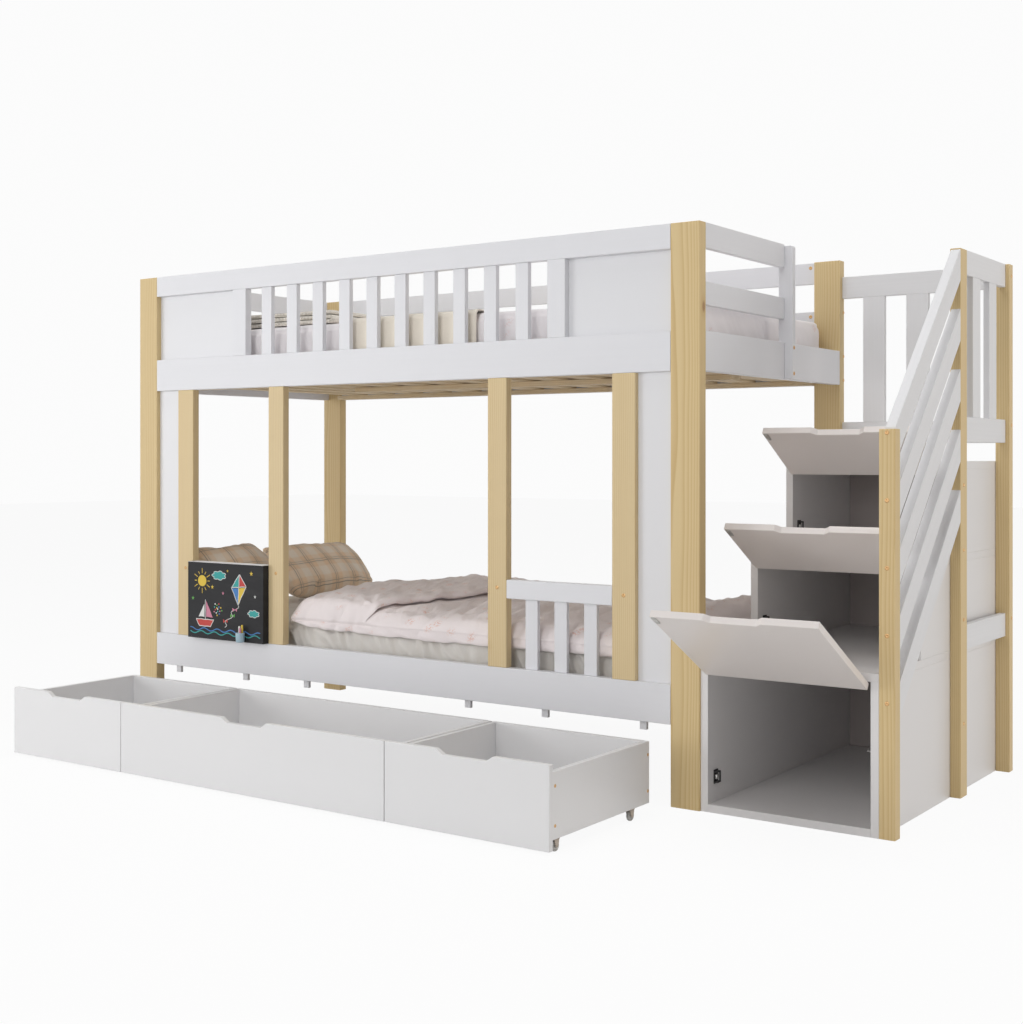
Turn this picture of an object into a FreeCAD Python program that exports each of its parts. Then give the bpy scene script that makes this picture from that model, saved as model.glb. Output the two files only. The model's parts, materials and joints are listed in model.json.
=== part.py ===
import FreeCAD, Part
import math
import os

# Bunk bed with storage stairs, three underbed drawers and bedding.
# Millimetres, +Z up, +X along the bed towards the stairs, +Y from the front to the back.
# The origin is the centre of the front left post's foot, on the floor.

Vector = FreeCAD.Vector
X_AXIS = Vector(1, 0, 0)
Y_AXIS = Vector(0, 1, 0)

# ---------------------------------------------------------------- bed frame sizes
BED_LENGTH = 2080.0
BED_WIDTH = 980.0
POST_WIDTH = 83.0
POST_DEPTH = 36.0
POST_HEIGHT = 1500.0
POST_EDGE_RADIUS = 3.0
RAIL_THICKNESS = 27.0
SIDE_RAIL_HEIGHT = 103.0
LOWER_RAIL_BOTTOM = 211.0
UPPER_RAIL_BOTTOM = 1120.0

# guard round the upper bunk
GUARD_TOP_HEIGHT = 65.0
GUARD_MIDDLE_HEIGHT = 60.0
GUARD_MIDDLE_TOP = 1349.0
END_GUARD_THICKNESS = 18.0
LEFT_PANEL_LENGTH = 352.0
RIGHT_PANEL_LENGTH = 317.0
GUARD_PANEL_RECESS = 19.0
STILE_WIDTH = 57.0
BALUSTER_COUNT = 10
BALUSTER_WIDTH = 42.0
BALUSTER_THICKNESS = 17.0
BALUSTER_RECESS = 5.0
ENTRY_POST_DISTANCE = 493.0
ENTRY_POST_WIDTH = 42.0
ENTRY_POST_THICKNESS = 21.0
ENTRY_POST_HEIGHT = 1496.0
ENTRY_POST_TOP_RADIUS = 8.0

# front of the lower bunk
SIDE_PANEL_WIDTH = 102.0
SIDE_PANEL_RECESS = 15.0
OUTER_WINDOW_POST_WIDTH = 70.0
INNER_WINDOW_POST_WIDTH = 63.0
CHALK_WINDOW_WIDTH = 335.5
WINDOW_BOLT_HEIGHT = 536.0
LOW_GUARD_BOTTOM = 507.0
LOW_GUARD_HEIGHT = 52.0
LOW_SLAT_COUNT = 3
LOW_SLAT_WIDTH = 40.0
LOW_SLAT_RECESS = 14.0
CHALKBOARD_HEIGHT = 245.0
CHALKBOARD_PROUD = 23.0
CHALKBOARD_THICKNESS = 42.0
CHALKBOARD_SIDE_GAP = 0.3

# slats under the mattresses
LEDGER_WIDTH = 25.0
LEDGER_HEIGHT = 15.0
SLAT_COUNT = 14
SLAT_WIDTH = 68.0
SLAT_THICKNESS = 15.0
SLAT_END_GAP = 1.0
BEAM_WIDTH = 60.0
BEAM_START = 560.0
BEAM_LENGTH = 1390.0

# ---------------------------------------------------------------- stair sizes
STAIR_WIDTH = 500.0
STAIR_POST_WIDTH = 39.0
STAIR_POST_DEPTH = 34.0
STAIR_FRONT_POST_CAP = 9.0
STAIR_GUARD_HEIGHT = 562.0
MIDDLE_POST_WIDTH = 28.0
MIDDLE_POST_DEPTH = 54.0
CABINET_INSET = 6.0
CABINET_SIDE_THICKNESS = 20.0
CABINET_BACK_THICKNESS = 8.0
CABINET_FLOOR_THICKNESS = 20.0
TREAD_THICKNESS = 20.0
FIRST_TREAD_TOP = 388.0
STEP_RISE = 250.0
LOWER_TREAD_GOING = 299.0
MIDDLE_TREAD_GOING = 235.0
MIDDLE_POST_SETBACK = 535.0

DIAGONAL_COUNT = 5
DIAGONAL_WIDTH = 61.0
DIAGONAL_SPACING = 114.2
DIAGONAL_THICKNESS = 25.0
DIAGONAL_ANGLE = 44.1
DIAGONAL_TOP_DROP = 4.0
DIAGONAL_LOWEST_EDGE_DROP = 86.0

STAIR_RAIL_HEIGHT = 66.0
STAIR_RAIL_THICKNESS = 18.0
STAIR_LOWER_RAIL_BOTTOM = 940.0
STAIR_BAND_HEIGHT = 66.0
STAIR_SLAT_WIDTH = 66.0
STAIR_SLAT_THICKNESS = 17.0
SIDE_SLAT_FIRST_GAP = 54.0
SIDE_SLAT_PITCH = 149.0
SIDE_SLAT_COUNT = 2
REAR_SLAT_COUNT = 3

# flaps that close the stair compartments
FLAP_THICKNESS = 18.0
FLAP_SIDE_GAP = 1.5
FLAP_TOP_GAP = 1.0
FLAP_BOTTOM_GAP = 2.0
FLAP_OPEN_ANGLE = 120.0
HINGE_RADIUS = 3.0
HINGE_PIVOT_OFFSET = 3.5
HINGE_LENGTH = 50.0
HINGE_INSET = 60.0
HINGE_LEAF_THICKNESS = 1.2
HINGE_LEAF_HEIGHT = 14.0
FLAP_NOTCH_WIDTH = 144.0
FLAP_NOTCH_DEPTH = 12.0
FLAP_NOTCH_SLANT = 14.5

# ---------------------------------------------------------------- drawer sizes
DRAWER_GAP = 2.0
DRAWER_DEPTH = 473.0
DRAWER_PULL = 578.0
DRAWER_FRONT_THICKNESS = 16.0
DRAWER_FRONT_BOTTOM = 6.0
DRAWER_FRONT_TOP = 204.0
DRAWER_WALL_THICKNESS = 15.0
DRAWER_WALL_INSET = 2.0
DRAWER_WALL_BOTTOM = 30.0
DRAWER_WALL_TOP = 185.0
DRAWER_FLOOR_BOTTOM = 40.0
DRAWER_FLOOR_THICKNESS = 6.0
DRAWER_NOTCH_WIDTH = 165.0
DRAWER_NOTCH_DEPTH = 13.0
DRAWER_NOTCH_SLANT = 20.0
STOP_SIZE = 20.0
STOP_CLEARANCE = 0.5
STOP_HEIGHT = 24.0
NARROW_STOP_INSET = 86.0
WIDE_STOP_INSET = 171.0
WHEEL_RADIUS = 13.5
WHEEL_WIDTH = 9.0
AXLE_RADIUS = 2.0
WHEEL_BORE_CLEARANCE = 0.1
FORK_THICKNESS = 1.5
FORK_SIDE_CLEARANCE = 0.6
FORK_LENGTH = 18.0
FRONT_WHEEL_SETBACK = 22.0
REAR_WHEEL_SETBACK = 85.0

# ---------------------------------------------------------------- fasteners
BOLT_RADIUS = 5.5
BOLT_HEAD_HEIGHT = 1.5
CORNER_BOLT_EDGE = 6.5
RAIL_BOLT_EDGE = 15.0
REAR_BOLT_INSET = 18.0
DIAGONAL_BOLT_RISE = 29.5

# ---------------------------------------------------------------- bedding sizes
SOFT_GAP = 0.3
MATTRESS_END_GAP = 18.0
MATTRESS_POST_GAP = 6.5
UPPER_MATTRESS_THICKNESS = 167.0
LOWER_MATTRESS_THICKNESS = 150.0
MATTRESS_EDGE_DRAW = 10.0
MATTRESS_EDGE_BAND = 30.0
BLANKET_START = 895.0
BLANKET_LENGTH = 465.0
BLANKET_THICKNESS = 5.0
BLANKET_DROP = 110.0
THROW_START = 120.0
THROW_LENGTH = 665.0
THROW_SIDE_INSET = 37.5
THROW_THICKNESS = 42.0
DUVET_START = 560.0
DUVET_FOOT_GAP = 2.0
DUVET_SIDE_INSET = 5.0
DUVET_CROWN = 95.0
DUVET_SIDE_SHARE = 0.5
DUVET_HEAD_SHARE = 0.4
DUVET_PLAIN_SHARE = 0.85
DUVET_ROLL = 70.0
DUVET_FOLD_LENGTH = 480.0
DUVET_FALL = 48.0
DUVET_FALL_THICKNESS = 10.0
PILLOW_EDGE_GAP = 5.0
PILLOW_GAP = 10.0
PILLOW_WIDTH_SHARES = (0.395, 0.542)
PILLOW_LEANS = (38.0, 44.0)
PILLOW_HEIGHT = 242.0
PILLOW_THICKNESS = 150.0
PILLOW_FOOT = 335.0

# ---------------------------------------------------------------- derived places
LEFT = -POST_WIDTH / 2
RIGHT = LEFT + BED_LENGTH
FRONT = -POST_DEPTH / 2
BACK = FRONT + BED_WIDTH
INNER_LEFT = LEFT + POST_WIDTH
INNER_RIGHT = RIGHT - POST_WIDTH
INNER_FRONT = FRONT + POST_DEPTH
INNER_BACK = BACK - POST_DEPTH
FRONT_RAIL_BACK = FRONT + RAIL_THICKNESS
REAR_RAIL_FRONT = BACK - RAIL_THICKNESS
LOWER_RAIL_TOP = LOWER_RAIL_BOTTOM + SIDE_RAIL_HEIGHT
UPPER_RAIL_TOP = UPPER_RAIL_BOTTOM + SIDE_RAIL_HEIGHT
GUARD_TOP_BOTTOM = POST_HEIGHT - GUARD_TOP_HEIGHT

STAIR_RIGHT = RIGHT + STAIR_WIDTH
CABINET_RIGHT = STAIR_RIGHT - STAIR_POST_WIDTH
COMPARTMENT_LEFT = RIGHT + CABINET_SIDE_THICKNESS
COMPARTMENT_RIGHT = CABINET_RIGHT - CABINET_SIDE_THICKNESS
CABINET_FRONT = FRONT + CABINET_INSET
FRONT_POST_BACK = CABINET_FRONT + STAIR_POST_DEPTH
MIDDLE_POST_FRONT = FRONT + MIDDLE_POST_SETBACK
MIDDLE_POST_BACK = MIDDLE_POST_FRONT + MIDDLE_POST_DEPTH
MIDDLE_POST_RIGHT = CABINET_RIGHT + MIDDLE_POST_WIDTH
BACK_POST_FRONT = BACK - STAIR_POST_DEPTH

STEP_NAMES = ("lower", "middle", "upper")
STEP_FRONTS = (
    CABINET_FRONT,
    CABINET_FRONT + LOWER_TREAD_GOING,
    CABINET_FRONT + LOWER_TREAD_GOING + MIDDLE_TREAD_GOING,
)
TREAD_TOPS = tuple(FIRST_TREAD_TOP + STEP_RISE * step for step in range(len(STEP_NAMES)))
COMPARTMENT_BOTTOMS = (CABINET_FLOOR_THICKNESS,) + TREAD_TOPS[:-1]
COMPARTMENT_TOPS = tuple(top - TREAD_THICKNESS for top in TREAD_TOPS)
STAIR_HEIGHT = TREAD_TOPS[-1] + STAIR_GUARD_HEIGHT

MATTRESS_LENGTH = BED_LENGTH - 2 * (RAIL_THICKNESS + MATTRESS_END_GAP)
MATTRESS_WIDTH = BED_WIDTH - 2 * (POST_DEPTH + MATTRESS_POST_GAP)
THROW_WIDTH = MATTRESS_WIDTH - 2 * THROW_SIDE_INSET
DUVET_LENGTH = BED_LENGTH - POST_WIDTH - DUVET_FOOT_GAP - DUVET_START
PILLOW_SPAN = MATTRESS_WIDTH - 2 * PILLOW_EDGE_GAP
PILLOW_WIDTHS = tuple(PILLOW_SPAN * share for share in PILLOW_WIDTH_SHARES)
DUVET_WIDTH = MATTRESS_WIDTH - 2 * DUVET_SIDE_INSET


def block(x, y, z):
    """A box from (start, end) pairs along X, Y and Z."""
    corner = Vector(x[0], y[0], z[0])
    return Part.makeBox(x[1] - x[0], y[1] - y[0], z[1] - z[0], corner)


def span(start, size):
    """The (start, end) pair of a stretch that begins at start."""
    return (start, start + size)


def evenly(start, end, count, width):
    """The starts of count pieces of one width, with equal gaps between start and end."""
    gap = (end - start - count * width) / (count + 1)
    return [start + gap + index * (width + gap) for index in range(count)]


def soften(shape, radius, direction):
    """Round the long edges of a shape that run along a direction."""
    edges = []
    for edge in shape.Edges:
        run = edge.Vertexes[-1].Point - edge.Vertexes[0].Point
        if run.Length > 0 and abs(run.normalize().dot(direction)) > 0.999:
            edges.append(edge)
    return shape.makeFillet(radius, edges)


def prism(points, direction):
    """A solid that sweeps a closed outline of points along a direction."""
    outline = Part.makePolygon(points + [points[0]])
    return Part.Face(outline).extrude(direction)


def save(name, solids):
    """Write one node as a STEP file."""
    shape = solids[0] if len(solids) == 1 else Part.makeCompound(solids)
    shape.exportStep(os.path.join("parts", name + ".step"))


# ---------------------------------------------------------------- bed frame

def bed_post(x, y):
    """A corner post of the bed with rounded upright edges."""
    post = block(span(x, POST_WIDTH), span(y, POST_DEPTH), (0, POST_HEIGHT))
    return soften(post, POST_EDGE_RADIUS, Vector(0, 0, 1))


def make_posts():
    """The four natural wood corner posts."""
    rear = BACK - POST_DEPTH
    save("front_left_post", [bed_post(LEFT, FRONT)])
    save("front_right_post", [bed_post(INNER_RIGHT, FRONT)])
    save("rear_left_post", [bed_post(LEFT, rear)])
    save("rear_right_post", [bed_post(INNER_RIGHT, rear)])


def make_side_rails(level, bottom):
    """Front, rear and end rails of one bunk, butted between the posts."""
    z = span(bottom, SIDE_RAIL_HEIGHT)
    along = (INNER_LEFT, INNER_RIGHT)
    across = (INNER_FRONT, INNER_BACK)
    save(level + "_front_rail", [block(along, (FRONT, FRONT_RAIL_BACK), z)])
    save(level + "_rear_and_end_rails", [
        block(along, (REAR_RAIL_FRONT, BACK), z),
        block(span(LEFT, RAIL_THICKNESS), across, z),
        block((RIGHT - RAIL_THICKNESS, RIGHT), across, z),
    ])


def make_front_guard():
    """Top rail, two recessed panels, two stiles and the balusters of the upper front guard."""
    thick = (FRONT, FRONT_RAIL_BACK)
    infill = (UPPER_RAIL_TOP, GUARD_TOP_BOTTOM)
    save("front_guard_top_rail", [block((INNER_LEFT, INNER_RIGHT), thick, (GUARD_TOP_BOTTOM, POST_HEIGHT))])

    panel_y = (FRONT + GUARD_PANEL_RECESS, FRONT_RAIL_BACK)
    left_stile = INNER_LEFT + LEFT_PANEL_LENGTH
    right_stile_end = INNER_RIGHT - RIGHT_PANEL_LENGTH
    save("front_guard_panels", [
        block((INNER_LEFT, left_stile), panel_y, infill),
        block((right_stile_end, INNER_RIGHT), panel_y, infill),
    ])

    balusters = [
        block(span(left_stile, STILE_WIDTH), thick, infill),
        block((right_stile_end - STILE_WIDTH, right_stile_end), thick, infill),
    ]
    depth = span(FRONT + BALUSTER_RECESS, BALUSTER_THICKNESS)
    open_start = left_stile + STILE_WIDTH
    open_end = right_stile_end - STILE_WIDTH
    for x in evenly(open_start, open_end, BALUSTER_COUNT, BALUSTER_WIDTH):
        balusters.append(block(span(x, BALUSTER_WIDTH), depth, infill))
    save("front_guard_balusters", balusters)


def make_rear_and_end_guards():
    """Two guard rails along the back, two at the left end and two at the right end."""
    top = (GUARD_TOP_BOTTOM, POST_HEIGHT)
    middle = (GUARD_MIDDLE_TOP - GUARD_MIDDLE_HEIGHT, GUARD_MIDDLE_TOP)
    rear_y = (BACK - END_GUARD_THICKNESS, BACK)
    left_x = span(LEFT, END_GUARD_THICKNESS)
    right_x = (RIGHT - END_GUARD_THICKNESS, RIGHT)
    across = (INNER_FRONT, INNER_BACK)
    to_entry = span(INNER_FRONT, ENTRY_POST_DISTANCE)
    rails = []
    for z in (top, middle):
        rails.append(block((INNER_LEFT, INNER_RIGHT), rear_y, z))
        rails.append(block(left_x, across, z))
        rails.append(block(right_x, to_entry, z))
    save("rear_and_end_guard_rails", rails)


def make_entry_post():
    """The guard post beside the stair entry, notched over the end rail's outer face."""
    y = span(INNER_FRONT + ENTRY_POST_DISTANCE, ENTRY_POST_THICKNESS)
    x = span(RIGHT - END_GUARD_THICKNESS, ENTRY_POST_WIDTH)
    upper = block(x, y, (UPPER_RAIL_TOP, ENTRY_POST_HEIGHT))
    rounded = soften(upper, ENTRY_POST_TOP_RADIUS, Y_AXIS)
    square_foot = block(x, y, (UPPER_RAIL_TOP, GUARD_MIDDLE_TOP))
    lap = block((RIGHT, x[1]), y, (UPPER_RAIL_BOTTOM, GUARD_MIDDLE_TOP))
    save("entry_guard_post", [rounded.fuse([square_foot, lap]).removeSplitter()])


def window_posts():
    """The (start, width) pairs of the four posts in the front of the lower bunk."""
    first = INNER_LEFT + SIDE_PANEL_WIDTH
    second = first + OUTER_WINDOW_POST_WIDTH + CHALK_WINDOW_WIDTH
    last = INNER_RIGHT - SIDE_PANEL_WIDTH - OUTER_WINDOW_POST_WIDTH
    third = last - CHALK_WINDOW_WIDTH - INNER_WINDOW_POST_WIDTH
    return [
        (first, OUTER_WINDOW_POST_WIDTH),
        (second, INNER_WINDOW_POST_WIDTH),
        (third, INNER_WINDOW_POST_WIDTH),
        (last, OUTER_WINDOW_POST_WIDTH),
    ]


def make_lower_front():
    """Posts, end panels and the small guard between the lower and the upper front rail."""
    height = (LOWER_RAIL_TOP, UPPER_RAIL_BOTTOM)
    thick = (FRONT, FRONT_RAIL_BACK)
    posts = window_posts()
    save("window_posts", [block(span(x, width), thick, height) for x, width in posts])

    panel_y = (FRONT + SIDE_PANEL_RECESS, FRONT_RAIL_BACK)
    save("lower_front_panels", [
        block((INNER_LEFT, posts[0][0]), panel_y, height),
        block((INNER_RIGHT - SIDE_PANEL_WIDTH, INNER_RIGHT), panel_y, height),
    ])

    start = posts[2][0] + posts[2][1]
    end = posts[3][0]
    pieces = [block((start, end), thick, span(LOW_GUARD_BOTTOM, LOW_GUARD_HEIGHT))]
    slat_y = (FRONT + LOW_SLAT_RECESS, FRONT_RAIL_BACK)
    for x in evenly(start, end, LOW_SLAT_COUNT, LOW_SLAT_WIDTH):
        pieces.append(block(span(x, LOW_SLAT_WIDTH), slat_y, (LOWER_RAIL_TOP, LOW_GUARD_BOTTOM)))
    save("low_guard", pieces)


def make_chalkboard():
    """The chalkboard, which stands on the lower rail between two window posts."""
    posts = window_posts()
    start = posts[0][0] + posts[0][1] + CHALKBOARD_SIDE_GAP
    end = posts[1][0] - CHALKBOARD_SIDE_GAP
    depth = span(FRONT - CHALKBOARD_PROUD, CHALKBOARD_THICKNESS)
    save("chalkboard", [block((start, end), depth, span(LOWER_RAIL_TOP, CHALKBOARD_HEIGHT))])


def make_ledgers():
    """Ledgers along the inner faces of the long rails, which carry the slats."""
    along = (INNER_LEFT, INNER_RIGHT)
    ledgers = []
    for bottom in (LOWER_RAIL_BOTTOM, UPPER_RAIL_BOTTOM):
        z = span(bottom, LEDGER_HEIGHT)
        ledgers.append(block(along, span(FRONT_RAIL_BACK, LEDGER_WIDTH), z))
        ledgers.append(block(along, (REAR_RAIL_FRONT - LEDGER_WIDTH, REAR_RAIL_FRONT), z))
    save("slat_ledgers", ledgers)


def make_slats(level, rail_bottom):
    """The slats of one bunk and the stiffening beam below them."""
    ledger_z = span(rail_bottom, LEDGER_HEIGHT)
    across = (FRONT_RAIL_BACK + SLAT_END_GAP, REAR_RAIL_FRONT - SLAT_END_GAP)
    slat_z = span(ledger_z[1], SLAT_THICKNESS)
    slats = []
    for x in evenly(INNER_LEFT, INNER_RIGHT, SLAT_COUNT, SLAT_WIDTH):
        slats.append(block(span(x, SLAT_WIDTH), across, slat_z))
    middle = (FRONT + BACK) / 2
    beam_y = span(middle - BEAM_WIDTH / 2, BEAM_WIDTH)
    slats.append(block(span(LEFT + BEAM_START, BEAM_LENGTH), beam_y, ledger_z))
    save(level + "_bed_slats", slats)


# ---------------------------------------------------------------- stairs

def diagonal_edge(index, y):
    """Height of the lower edge of one diagonal board at a place along Y."""
    slope = math.tan(math.radians(DIAGONAL_ANGLE))
    step = DIAGONAL_SPACING / math.cos(math.radians(DIAGONAL_ANGLE))
    at_post = STAIR_HEIGHT - DIAGONAL_LOWEST_EDGE_DROP - index * step
    return at_post - (MIDDLE_POST_FRONT - y) * slope


def diagonal_bolt_height(index):
    """Height of the bolt that holds one diagonal board to the front post."""
    half_rise = DIAGONAL_WIDTH / 2 / math.cos(math.radians(DIAGONAL_ANGLE))
    return diagonal_edge(index, FRONT_POST_BACK) + half_rise + DIAGONAL_BOLT_RISE


def make_stair_posts():
    """Short front post, slim middle post and back post of the stairs."""
    outer = (CABINET_RIGHT, STAIR_RIGHT)
    front_post_z = (0, diagonal_bolt_height(0) + STAIR_FRONT_POST_CAP)
    save("stair_front_post", [block(outer, (CABINET_FRONT, FRONT_POST_BACK), front_post_z)])
    middle_x = (CABINET_RIGHT, MIDDLE_POST_RIGHT)
    save("stair_middle_post", [block(middle_x, (MIDDLE_POST_FRONT, MIDDLE_POST_BACK), (0, STAIR_HEIGHT))])
    save("stair_back_post", [block(outer, (BACK_POST_FRONT, BACK), (0, STAIR_HEIGHT))])


def make_cabinets():
    """Side panels, treads, back panels and the floor of the three stacked compartments."""
    inside = (COMPARTMENT_LEFT, COMPARTMENT_RIGHT)
    linings = [block(inside, (CABINET_FRONT, BACK), (0, CABINET_FLOOR_THICKNESS))]
    for name, front, bottom, top in zip(STEP_NAMES, STEP_FRONTS, COMPARTMENT_BOTTOMS, COMPARTMENT_TOPS):
        side_bottom = 0 if name == STEP_NAMES[0] else bottom
        side_z = (side_bottom, top)
        depth = (front, BACK)
        save(name + "_cabinet_sides", [
            block((RIGHT, COMPARTMENT_LEFT), depth, side_z),
            block((COMPARTMENT_RIGHT, CABINET_RIGHT), depth, side_z),
        ])
        save(name + "_tread", [block((RIGHT, CABINET_RIGHT), depth, span(top, TREAD_THICKNESS))])
        back_y = (BACK - CABINET_BACK_THICKNESS, BACK)
        linings.append(block(inside, back_y, (bottom, top)))
    save("cabinet_floor_and_backs", linings)


def diagonal_board(index):
    """One slanted guard board between the front post and the middle post."""
    rise = DIAGONAL_WIDTH / math.cos(math.radians(DIAGONAL_ANGLE))
    x = MIDDLE_POST_RIGHT - DIAGONAL_THICKNESS
    low_front = diagonal_edge(index, FRONT_POST_BACK)
    low_back = diagonal_edge(index, MIDDLE_POST_FRONT)
    ceiling = STAIR_HEIGHT - DIAGONAL_TOP_DROP
    points = [
        Vector(x, FRONT_POST_BACK, low_front),
        Vector(x, MIDDLE_POST_FRONT, low_back),
        Vector(x, MIDDLE_POST_FRONT, low_back + rise),
        Vector(x, FRONT_POST_BACK, low_front + rise),
    ]
    board = prism(points, Vector(DIAGONAL_THICKNESS, 0, 0))
    keep = block((x, x + DIAGONAL_THICKNESS), (FRONT_POST_BACK, MIDDLE_POST_FRONT), (0, ceiling))
    return board.common(keep)


def make_stair_guards():
    """Diagonal boards, the side guard behind them and the rear guard."""
    save("diagonal_guard_boards", [diagonal_board(index) for index in range(DIAGONAL_COUNT)])

    top = (STAIR_HEIGHT - STAIR_RAIL_HEIGHT, STAIR_HEIGHT)
    lower = span(STAIR_LOWER_RAIL_BOTTOM, STAIR_RAIL_HEIGHT)
    band = span(FIRST_TREAD_TOP, STAIR_BAND_HEIGHT)
    infill = (lower[1], top[0])
    side_x = (MIDDLE_POST_RIGHT - STAIR_RAIL_THICKNESS, MIDDLE_POST_RIGHT)
    side_y = (MIDDLE_POST_BACK, BACK_POST_FRONT)
    side = [block(side_x, side_y, z) for z in (top, lower, band)]
    slat_x = (MIDDLE_POST_RIGHT - STAIR_SLAT_THICKNESS, MIDDLE_POST_RIGHT)
    for index in range(SIDE_SLAT_COUNT):
        y = MIDDLE_POST_BACK + SIDE_SLAT_FIRST_GAP + index * SIDE_SLAT_PITCH
        side.append(block(slat_x, span(y, STAIR_SLAT_WIDTH), infill))
    save("stair_side_guard", side)

    rear_y = (BACK - STAIR_RAIL_THICKNESS, BACK)
    rear = [block((RIGHT, CABINET_RIGHT), rear_y, z) for z in (top, lower)]
    slat_y = span(BACK - STAIR_RAIL_THICKNESS, STAIR_SLAT_THICKNESS)
    for x in evenly(RIGHT, CABINET_RIGHT, REAR_SLAT_COUNT, STAIR_SLAT_WIDTH):
        rear.append(block(span(x, STAIR_SLAT_WIDTH), slat_y, infill))
    save("stair_rear_guard", rear)


def notch(centre, edge, depth, width, slant, y, thickness, upward):
    """A cutter for a finger notch with slanted ends in a horizontal edge."""
    reach = depth if upward else -depth
    overshoot = 1.0 if upward else -1.0
    half = width / 2
    points = [
        Vector(centre - half, y, edge - overshoot),
        Vector(centre - half, y, edge),
        Vector(centre - half + slant, y, edge + reach),
        Vector(centre + half - slant, y, edge + reach),
        Vector(centre + half, y, edge),
        Vector(centre + half, y, edge - overshoot),
    ]
    return prism(points, Vector(0, thickness, 0))


def make_flaps():
    """The three flaps, stored open, and the hinge barrels at their upper edges."""
    x = (COMPARTMENT_LEFT + FLAP_SIDE_GAP, COMPARTMENT_RIGHT - FLAP_SIDE_GAP)
    centre = (x[0] + x[1]) / 2
    hinges = []
    for name, front, bottom, top in zip(STEP_NAMES, STEP_FRONTS, COMPARTMENT_BOTTOMS, COMPARTMENT_TOPS):
        low = bottom + FLAP_BOTTOM_GAP
        closed = block(x, span(front, FLAP_THICKNESS), (low, top - FLAP_TOP_GAP))
        cutter = notch(centre, low, FLAP_NOTCH_DEPTH, FLAP_NOTCH_WIDTH, FLAP_NOTCH_SLANT,
                       front, FLAP_THICKNESS, True)
        flap = closed.cut(cutter)
        pivot = Vector(0, front - HINGE_PIVOT_OFFSET, top)
        flap.rotate(pivot, X_AXIS, -FLAP_OPEN_ANGLE)
        save(name + "_flap", [flap])
        for start in (x[0] + HINGE_INSET, x[1] - HINGE_INSET - HINGE_LENGTH):
            barrel = Part.makeCylinder(HINGE_RADIUS, HINGE_LENGTH, Vector(start, pivot.y, pivot.z), X_AXIS)
            leaf_y = (front - HINGE_LEAF_THICKNESS, front)
            leaf = block(span(start, HINGE_LENGTH), leaf_y, span(top, HINGE_LEAF_HEIGHT))
            hinges.append(barrel.fuse(leaf))
    save("flap_hinges", hinges)


# ---------------------------------------------------------------- drawers

def drawer_spans():
    """The (name, start, end) of the narrow left, wide centre and narrow right drawers."""
    opening = INNER_RIGHT - INNER_LEFT
    narrow = (opening - 5 * DRAWER_GAP) / 4
    wide = 2 * narrow + DRAWER_GAP
    left = INNER_LEFT + DRAWER_GAP
    centre = left + narrow + DRAWER_GAP
    right = centre + wide + DRAWER_GAP
    return [
        ("left_drawer", left, left + narrow),
        ("centre_drawer", centre, centre + wide),
        ("right_drawer", right, right + narrow),
    ]


def wheel_places(start, end):
    """The (x, y) centres of a drawer's front pair and rear pair of wheels."""
    half_wall = DRAWER_WALL_INSET + DRAWER_WALL_THICKNESS / 2
    front = FRONT - DRAWER_PULL + DRAWER_FRONT_THICKNESS + FRONT_WHEEL_SETBACK
    rear = FRONT - DRAWER_PULL + DRAWER_DEPTH - REAR_WHEEL_SETBACK
    sides = (start + half_wall, end - half_wall)
    return [(x, front) for x in sides], [(x, rear) for x in sides]


def wheel(x, y):
    """One caster wheel with its bore, standing on the floor."""
    start = Vector(x - WHEEL_WIDTH / 2, y, WHEEL_RADIUS)
    tyre = Part.makeCylinder(WHEEL_RADIUS, WHEEL_WIDTH, start, X_AXIS)
    bore = Part.makeCylinder(AXLE_RADIUS + WHEEL_BORE_CLEARANCE, WHEEL_WIDTH, start, X_AXIS)
    return tyre.cut(bore)


def caster_fork(x, y):
    """The plate, two arms and axle that hold one wheel under a drawer's side wall."""
    half = WHEEL_WIDTH / 2 + FORK_SIDE_CLEARANCE
    outer = half + FORK_THICKNESS
    along = span(y - FORK_LENGTH / 2, FORK_LENGTH)
    height = (WHEEL_RADIUS - AXLE_RADIUS - FORK_THICKNESS, DRAWER_WALL_BOTTOM)
    plate = block((x - outer, x + outer), along, (DRAWER_WALL_BOTTOM - FORK_THICKNESS, DRAWER_WALL_BOTTOM))
    arms = [
        block((x - outer, x - half), along, height),
        block((x + half, x + outer), along, height),
    ]
    axle = Part.makeCylinder(AXLE_RADIUS, 2 * outer, Vector(x - outer, y, WHEEL_RADIUS), X_AXIS)
    return plate.fuse(arms + [axle]).removeSplitter()


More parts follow.
